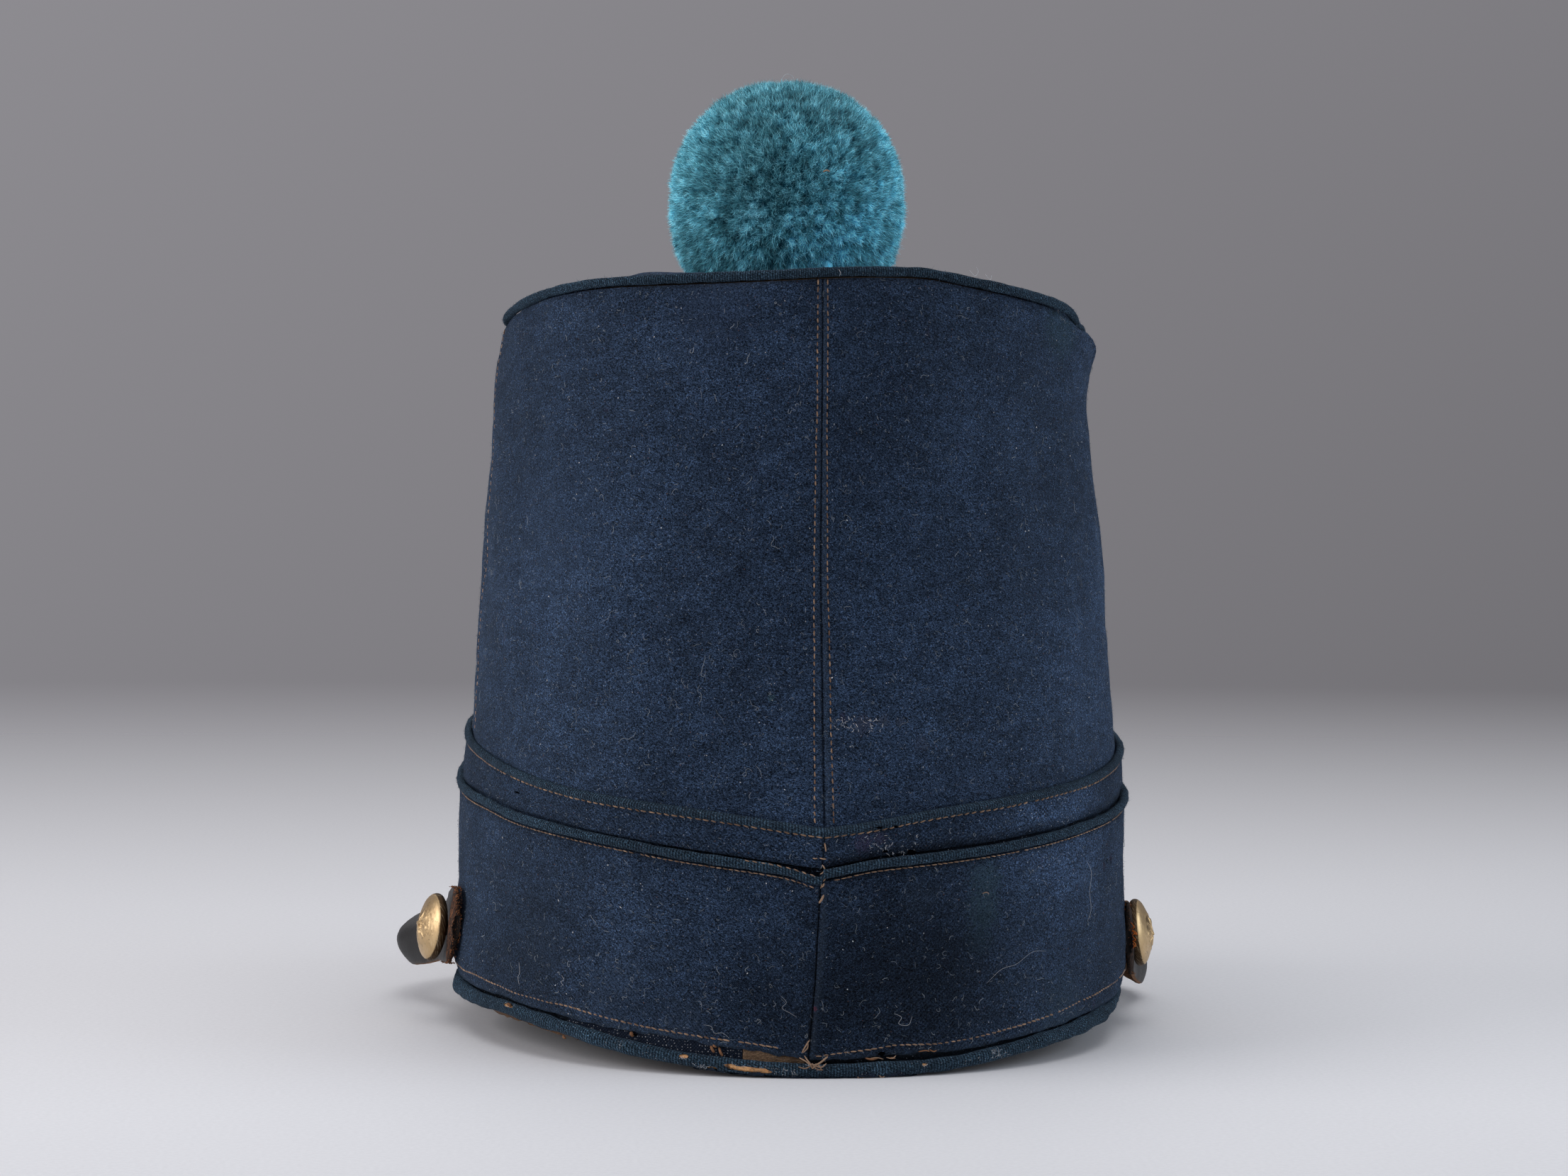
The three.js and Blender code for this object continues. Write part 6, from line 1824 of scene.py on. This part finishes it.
nrm = unit(nrm * np.sqrt(1 - up_ ** 2)[:, None] + np.array([0, 0, 1.0]) * up_[:, None])
root = shell(follow(a_, z_), z_, off_ - 0.06)
tang = unit(np.cross(nrm, unit(rng.normal(size=(n, 3)))))
lie = np.where(rng.random(n) < 0.86, rng.uniform(0.12, 0.55, n), rng.uniform(0.5, 1.3, n))
go = unit(tang + nrm * lie[:, None])
length_ = np.clip(0.72 * rng.lognormal(0, 0.38, n), 0.3, 1.9)
wide = rng.uniform(0.016, 0.036, n)
side = unit(np.cross(go, nrm + 0.4 * unit(rng.normal(size=(n, 3)))))
V = np.stack([root - side * wide[:, None], root + side * wide[:, None], root + go * length_[:, None]], 1).reshape(-1, 3)
tint = np.repeat(np.clip(rng.random(n) ** 2.2 + 0.25 * waves(root, 6.0, 312) * 0.3, 0, 1), 3)
V[:, 2] = np.maximum(V[:, 2], floor_at(V[:, 1]) + 0.03)
make("cloth_fuzz", V, np.arange(3 * n).reshape(-1, 3), fuzz_mat, attrs={"tint": tint}, normals=unit(np.repeat(nrm + 0.35 * go, 3, 0)))

# ----------------------------------------------------------------------- pompom
rng = np.random.default_rng(77)
PC = np.array([POM["x"], POM["y"], POM["z"]])


def pom_radius(d):
    h = np.hypot(d[..., 0], d[..., 1])
    return ((h / POM["r"]) ** POM["power"] + (np.abs(d[..., 2]) / POM["rz"]) ** POM["power"]) ** (-1 / POM["power"])


def fib(n):
    i = np.arange(n) + 0.5
    z = 1 - 2 * i / n
    a = math.pi * (1 + 5 ** 0.5) * i
    r = np.sqrt(1 - z * z)
    return np.stack([r * np.cos(a), r * np.sin(a), z], -1)


clumps = fib(3300)
clumps = unit(clumps + rng.normal(0, 0.022, clumps.shape))
tree = kdtree.KDTree(len(clumps))
for i, c in enumerate(clumps):
    tree.insert(c, i)
tree.balance()
c_pos = clumps * 32.0
c_high = 0.30 * rng.normal(0, 1, len(clumps)) + 0.24 * waves(c_pos, 5.0, 401) + 0.14 * waves(c_pos, 13, 402)
c_tone = np.clip(0.5 + 0.15 * rng.normal(0, 1, len(clumps)) + 0.09 * waves(c_pos, 8.0, 403) + 0.04 * waves(c_pos, 26, 404), 0, 1)
c_swirl = unit(np.cross(clumps, unit(rng.normal(size=clumps.shape))))


def tufted(d):
    """The tufted surface in directions d: its radius, the nearest tuft and the distance to its middle."""
    flat = d.reshape(-1, 3)
    near = np.fromiter((tree.find(x)[1] for x in flat), int, len(flat))
    gap = np.linalg.norm(flat - clumps[near], axis=-1) * 32.0
    r = pom_radius(flat) - 0.75 + 0.50 * c_high[near] - 0.50 * (gap / 1.2) ** 2
    return r, near, gap


def pile_painted_light(d):
    """Painted light on the wool: lighter most on the right side, low at the back and in the middle of the back, and a
    little on the left.
    """
    low = smooth(0.25, -0.4, d[..., 2]) * smooth(0.3, 0.8, d[..., 1])
    spot_ = bell(np.linalg.norm(d - np.array([0.0, 0.955, -0.29]), axis=-1) / 0.30, 1.0)
    middle = smooth(0.25, -0.30, d[..., 0]) * smooth(0.55, 0.9, d[..., 1])
    return 0.14 + 0.42 * low + 0.50 * spot_ + 0.62 * middle + 0.62 * smooth(0.35, 0.95, -d[..., 0]) + 0.28 * smooth(0.35, 0.95, d[..., 0])


def pile_piece(name, n, seed):
    rng = np.random.default_rng(seed)
    d = unit(rng.normal(size=(n, 3)))
    r, near, gap = tufted(d)
    deep = rng.uniform(0.1, 1.5, n)
    root = PC + d * (r - deep)[:, None]
    rand = unit(np.cross(d, unit(rng.normal(size=(n, 3)))))
    out_ = d - clumps[near]
    go = unit(d * rng.uniform(0.55, 1.0, n)[:, None] + c_swirl[near] * 0.22 + rand * rng.uniform(0.15, 0.75, n)[:, None] - out_ * 4.0
              + np.array([0, 0, -1.0]) * (0.22 * smooth(0.5, -0.7, d[:, 2]))[:, None])
    L_ = deep + rng.uniform(0.45, 1.75, n) + 0.9 * rng.random(n) ** 14
    tip = root + go * L_[:, None]
    side = unit(np.cross(go, d + 0.55 * unit(rng.normal(size=(n, 3)))))
    w = rng.uniform(0.035, 0.080, n)[:, None]
    ng = np.cross(side, go)
    side = side * np.sign((ng * d).sum(-1, keepdims=True))
    V = np.stack([root - side * w, root + side * w, tip], 1).reshape(-1, 3)
    # each fibre's root and tip values: painted shade, darker deep in the pile and between the tufts, lighter on high
    # tufts
    high = np.clip(0.5 + 0.34 * c_high[near] - 0.30 * (gap / 1.1) ** 2, 0, 1)
    t0 = np.clip(0.40 * high - 0.26 * (deep - 0.6), 0, 1)
    t1 = np.clip(0.52 + 0.56 * high, 0, 1)
    tone = np.repeat(np.clip(c_tone[near] + rng.normal(0, 0.36, n), 0, 1), 3)
    nrm = unit(1.0 * d + 0.7 * np.cross(side, go))
    return make(name, V, np.arange(n * 3).reshape(-1, 3), pile_mat, (), None, None,
                {"tip": np.stack([t0, t0, t1], 1).ravel(), "tone": tone, "pile_painted_light": np.repeat(pile_painted_light(d), 3)}, np.repeat(nrm, 3, 0))


# the tufts' own body, which the fibres grow from
nth, nph = 180, 90
ph = (np.arange(nph) + 0.5) / nph * math.pi
th = np.arange(nth) / nth * 2 * math.pi
PH, TH = np.meshgrid(ph, th, indexing="ij")
cd = np.stack([np.sin(PH) * np.cos(TH), np.sin(PH) * np.sin(TH), np.cos(PH)], -1)
cr, near, gap = tufted(cd)
# the core is painted darker between the tufts: painted shade
core_painted_shade = np.clip(0.20 + 0.22 * c_high[near] - 0.24 * (gap / 1.1) ** 2, 0, 1)
CP = PC + cd.reshape(-1, 3) * (cr - 0.85)[:, None]
f, corners = grid_faces(nph, nth, False, True)
V = np.concatenate([CP, [CP[:nth].mean(0)], [CP[-nth:].mean(0)]])
k = np.arange(nth)
capA = np.stack([np.full(nth, nph * nth), k, (k + 1) % nth, np.full(nth, -1)], -1)
capB = np.stack([np.full(nth, nph * nth + 1), (nph - 1) * nth + (k + 1) % nth, (nph - 1) * nth + k, np.full(nth, -1)], -1)
make("pompom_core", V, np.concatenate([f[:, ::-1], capA, capB]), pile_mat, ("pompom",), None, None,
     {"tip": np.concatenate([core_painted_shade, [0.3, 0.3]]), "tone": np.concatenate([c_tone[near], [0.5, 0.5]]), "pile_painted_light": np.concatenate([pile_painted_light(cd.reshape(-1, 3)), [0, 0]])})
N_BLADES = 165000
for i_, piece in enumerate(("pompom_pile_a", "pompom_pile_b")):
    pile_piece(piece, N_BLADES, 421 + i_)

# a long hair on top of it and a scrap of thread caught in the pile
loop = spline(PC + np.array([(2.0, 1.0, 32.2), (1.7, 1.0, 33.7), (0.5, 1.0, 34.7), (-0.7, 1.0, 34.3), (-1.7, 1.0, 32.6)]), 26)
scrap = spline(PC + np.array([(-7.2, 29.9, 9.9), (-8.0, 30.2, 10.3), (-8.9, 29.7, 10.0)]), 10)
hv, hf = tube(loop, 0.055, 5, 0.5)
make("pompom_hair", hv, hf, lint_white, attrs={"tint": np.full(len(hv), 0.7)})
hv, hf = tube(scrap, 0.22, 6, 0.5)
make("pompom_scrap", hv, hf, stitch_mat, attrs={"tint": np.full(len(hv), 0.9)})

frame["nodes"]["pompom_stem"].data.materials.clear()
stem_mat = Graph("stem_wire")
rust = stem_mat.noise(stem_mat.place(), 400, 4, 0.7)
stem_mat.set(Base_Color=stem_mat.mix(stem_mat.range(rust, 0.4, 0.65), (0.16, 0.15, 0.14), (0.11, 0.05, 0.025)), Metallic=0.7, Roughness=0.55)
frame["nodes"]["pompom_stem"].data.materials.append(stem_mat.mat)

# ---------------------------------------------------------------- floor, lights
def studio():
    me = bpy.data.meshes.new("table")
    n = 96
    ang = np.arange(n) * 2 * math.pi / n
    rad = np.array([0.05, 0.2, 0.5, 1.0, 2.2])
    V = [(0, 0, 0)] + [(r * math.cos(a), r * math.sin(a), 0) for r in rad for a in ang]
    F = [(0, 1 + k, 1 + (k + 1) % n) for k in range(n)]
    for i in range(len(rad) - 1):
        for k in range(n):
            b = 1 + i * n
            F.append((b + k, b + n + k, b + n + (k + 1) % n, b + (k + 1) % n))
    me.from_pydata(V, [], F)
    g = Graph("pale_table")
    p = g.place()
    x, y, _ = g.split(p)
    far = g.math("POWER", g.math("SUBTRACT", y, 0.15), 2.0)
    r = g.math("SQRT", g.math("ADD", g.math("POWER", g.math("MULTIPLY", x, 0.60), 2.0), far))
    fade = g.math("ADD", g.range(r, 0.02, 1.33, 0.0, 0.72, "LINEAR"), g.range(r, 0.20, 1.45, 0.0, 0.28, "SMOOTHSTEP"), clamp=True)
    grain = g.noise(p, 900, 2, 0.5)
    g.set(Base_Color=g.mix(g.range(grain, 0.3, 0.7, 0.0, 1.0), (0.85, 0.855, 0.88), (0.885, 0.89, 0.915)), Roughness=0.62, Specular_IOR_Level=0.22,
          Normal=g.bump(grain, 0.05, 0.2))
    clear = g.nodes.new("ShaderNodeBsdfTransparent")
    mixer = g.nodes.new("ShaderNodeMixShader")
    g.links.new(fade, mixer.inputs[0])
    g.links.new(g.bsdf.outputs[0], mixer.inputs[1])
    g.links.new(clear.outputs[0], mixer.inputs[2])
    g.links.new(mixer.outputs[0], g.out.inputs[0])
    me.materials.append(g.mat)
    ob = bpy.data.objects.new("table", me)
    bpy.context.scene.collection.objects.link(ob)

    w = bpy.data.worlds.new("backdrop")
    bpy.context.scene.world = w
    w.use_nodes = True
    # a plain grey wall, a little darker to one side and lower down
    tree_ = w.node_tree
    way = tree_.nodes.new("ShaderNodeTexCoord")
    slope = tree_.nodes.new("ShaderNodeVectorMath")
    slope.operation = "DOT_PRODUCT"
    slope.inputs[1].default_value = (0.164, 0.0, 0.220)
    level = tree_.nodes.new("ShaderNodeMath")
    level.operation = "ADD"
    level.inputs[1].default_value = 0.2236
    keep_ = tree_.nodes.new("ShaderNodeClamp")
    keep_.inputs["Min"].default_value, keep_.inputs["Max"].default_value = 0.165, 0.262
    tree_.links.new(way.outputs["Generated"], slope.inputs[0])
    tree_.links.new(slope.outputs["Value"], level.inputs[0])
    tree_.links.new(level.outputs[0], keep_.inputs["Value"])
    tree_.links.new(keep_.outputs[0], tree_.nodes["Background"].inputs["Strength"])
    tree_.nodes["Background"].inputs["Color"].default_value = (1.012, 0.985, 1.062, 1)

    def area(name, at, aim, size, watts, colour=(1, 1, 1)):
        data = bpy.data.lights.new(name, "AREA")
        data.shape = "RECTANGLE"
        data.size, data.size_y = size
        data.energy = watts
        data.color = colour
        lamp = bpy.data.objects.new(name, data)
        bpy.context.scene.collection.objects.link(lamp)
        lamp.location = at
        lamp.rotation_euler = (Vector(aim) - Vector(at)).to_track_quat("-Z", "Y").to_euler()
        return lamp

    # the cap's back faces +Y, and +X is on the left of the picture
    area("key_left", (1.25, 0.28, 0.58), (0, 0.02, 0.09), (1.2, 0.9), 9.0, (1.0, 0.985, 1.0))
    area("fill_right", (-1.2, 0.22, 0.50), (0, 0.02, 0.09), (1.0, 0.8), 4.9, (0.86, 0.97, 1.08))
    area("overhead", (0.0, 0.0, 1.40), (0, 0.0, 0.05), (1.4, 1.4), 8.6)
    area("back_rim", (0.0, -1.2, 0.8), (0, 0, 0.12), (1.2, 0.7), 2.0)


studio()

# ----------------------------------------------------------------------- camera
D_, H_, PITCH, YAW, OX, ROLL = 1049.0, 229.1587, 0.1246, 0.0685, 3.6001, -0.0137
s_, c_ = math.sin(YAW), math.cos(YAW)
eye = np.array([D_ * s_, D_ * c_, H_])
fwd = np.array([-s_ * math.cos(PITCH), -c_ * math.cos(PITCH), -math.sin(PITCH)])
right = np.array([-c_, s_, 0.0])
eye = eye - right * OX + right * 1.0
upv = np.cross(right, fwd)
r2 = right * math.cos(ROLL) - upv * math.sin(ROLL)
u2 = right * math.sin(ROLL) + upv * math.cos(ROLL)
Rw, Uw, Bw = world_dir(r2), world_dir(u2), -world_dir(fwd)
cam_data = bpy.data.cameras.new("camera")
cam = bpy.data.objects.new("camera", cam_data)
bpy.context.scene.collection.objects.link(cam)
m4 = Matrix.Identity(4)
for i in range(3):
    m4[i][0], m4[i][1], m4[i][2] = Rw[i], Uw[i], Bw[i]
    m4[i][3] = world(eye)[i]
cam.matrix_world = m4
cam_data.sensor_fit = "HORIZONTAL"
cam_data.sensor_width = 36.0
cam_data.lens = 5968.0 * 36.0 / 2212.0
cam_data.clip_start, cam_data.clip_end = 0.05, 20.0
bpy.context.scene.camera = cam
bpy.context.scene.view_settings.view_transform = "Standard"
bpy.context.scene.view_settings.look = "None"
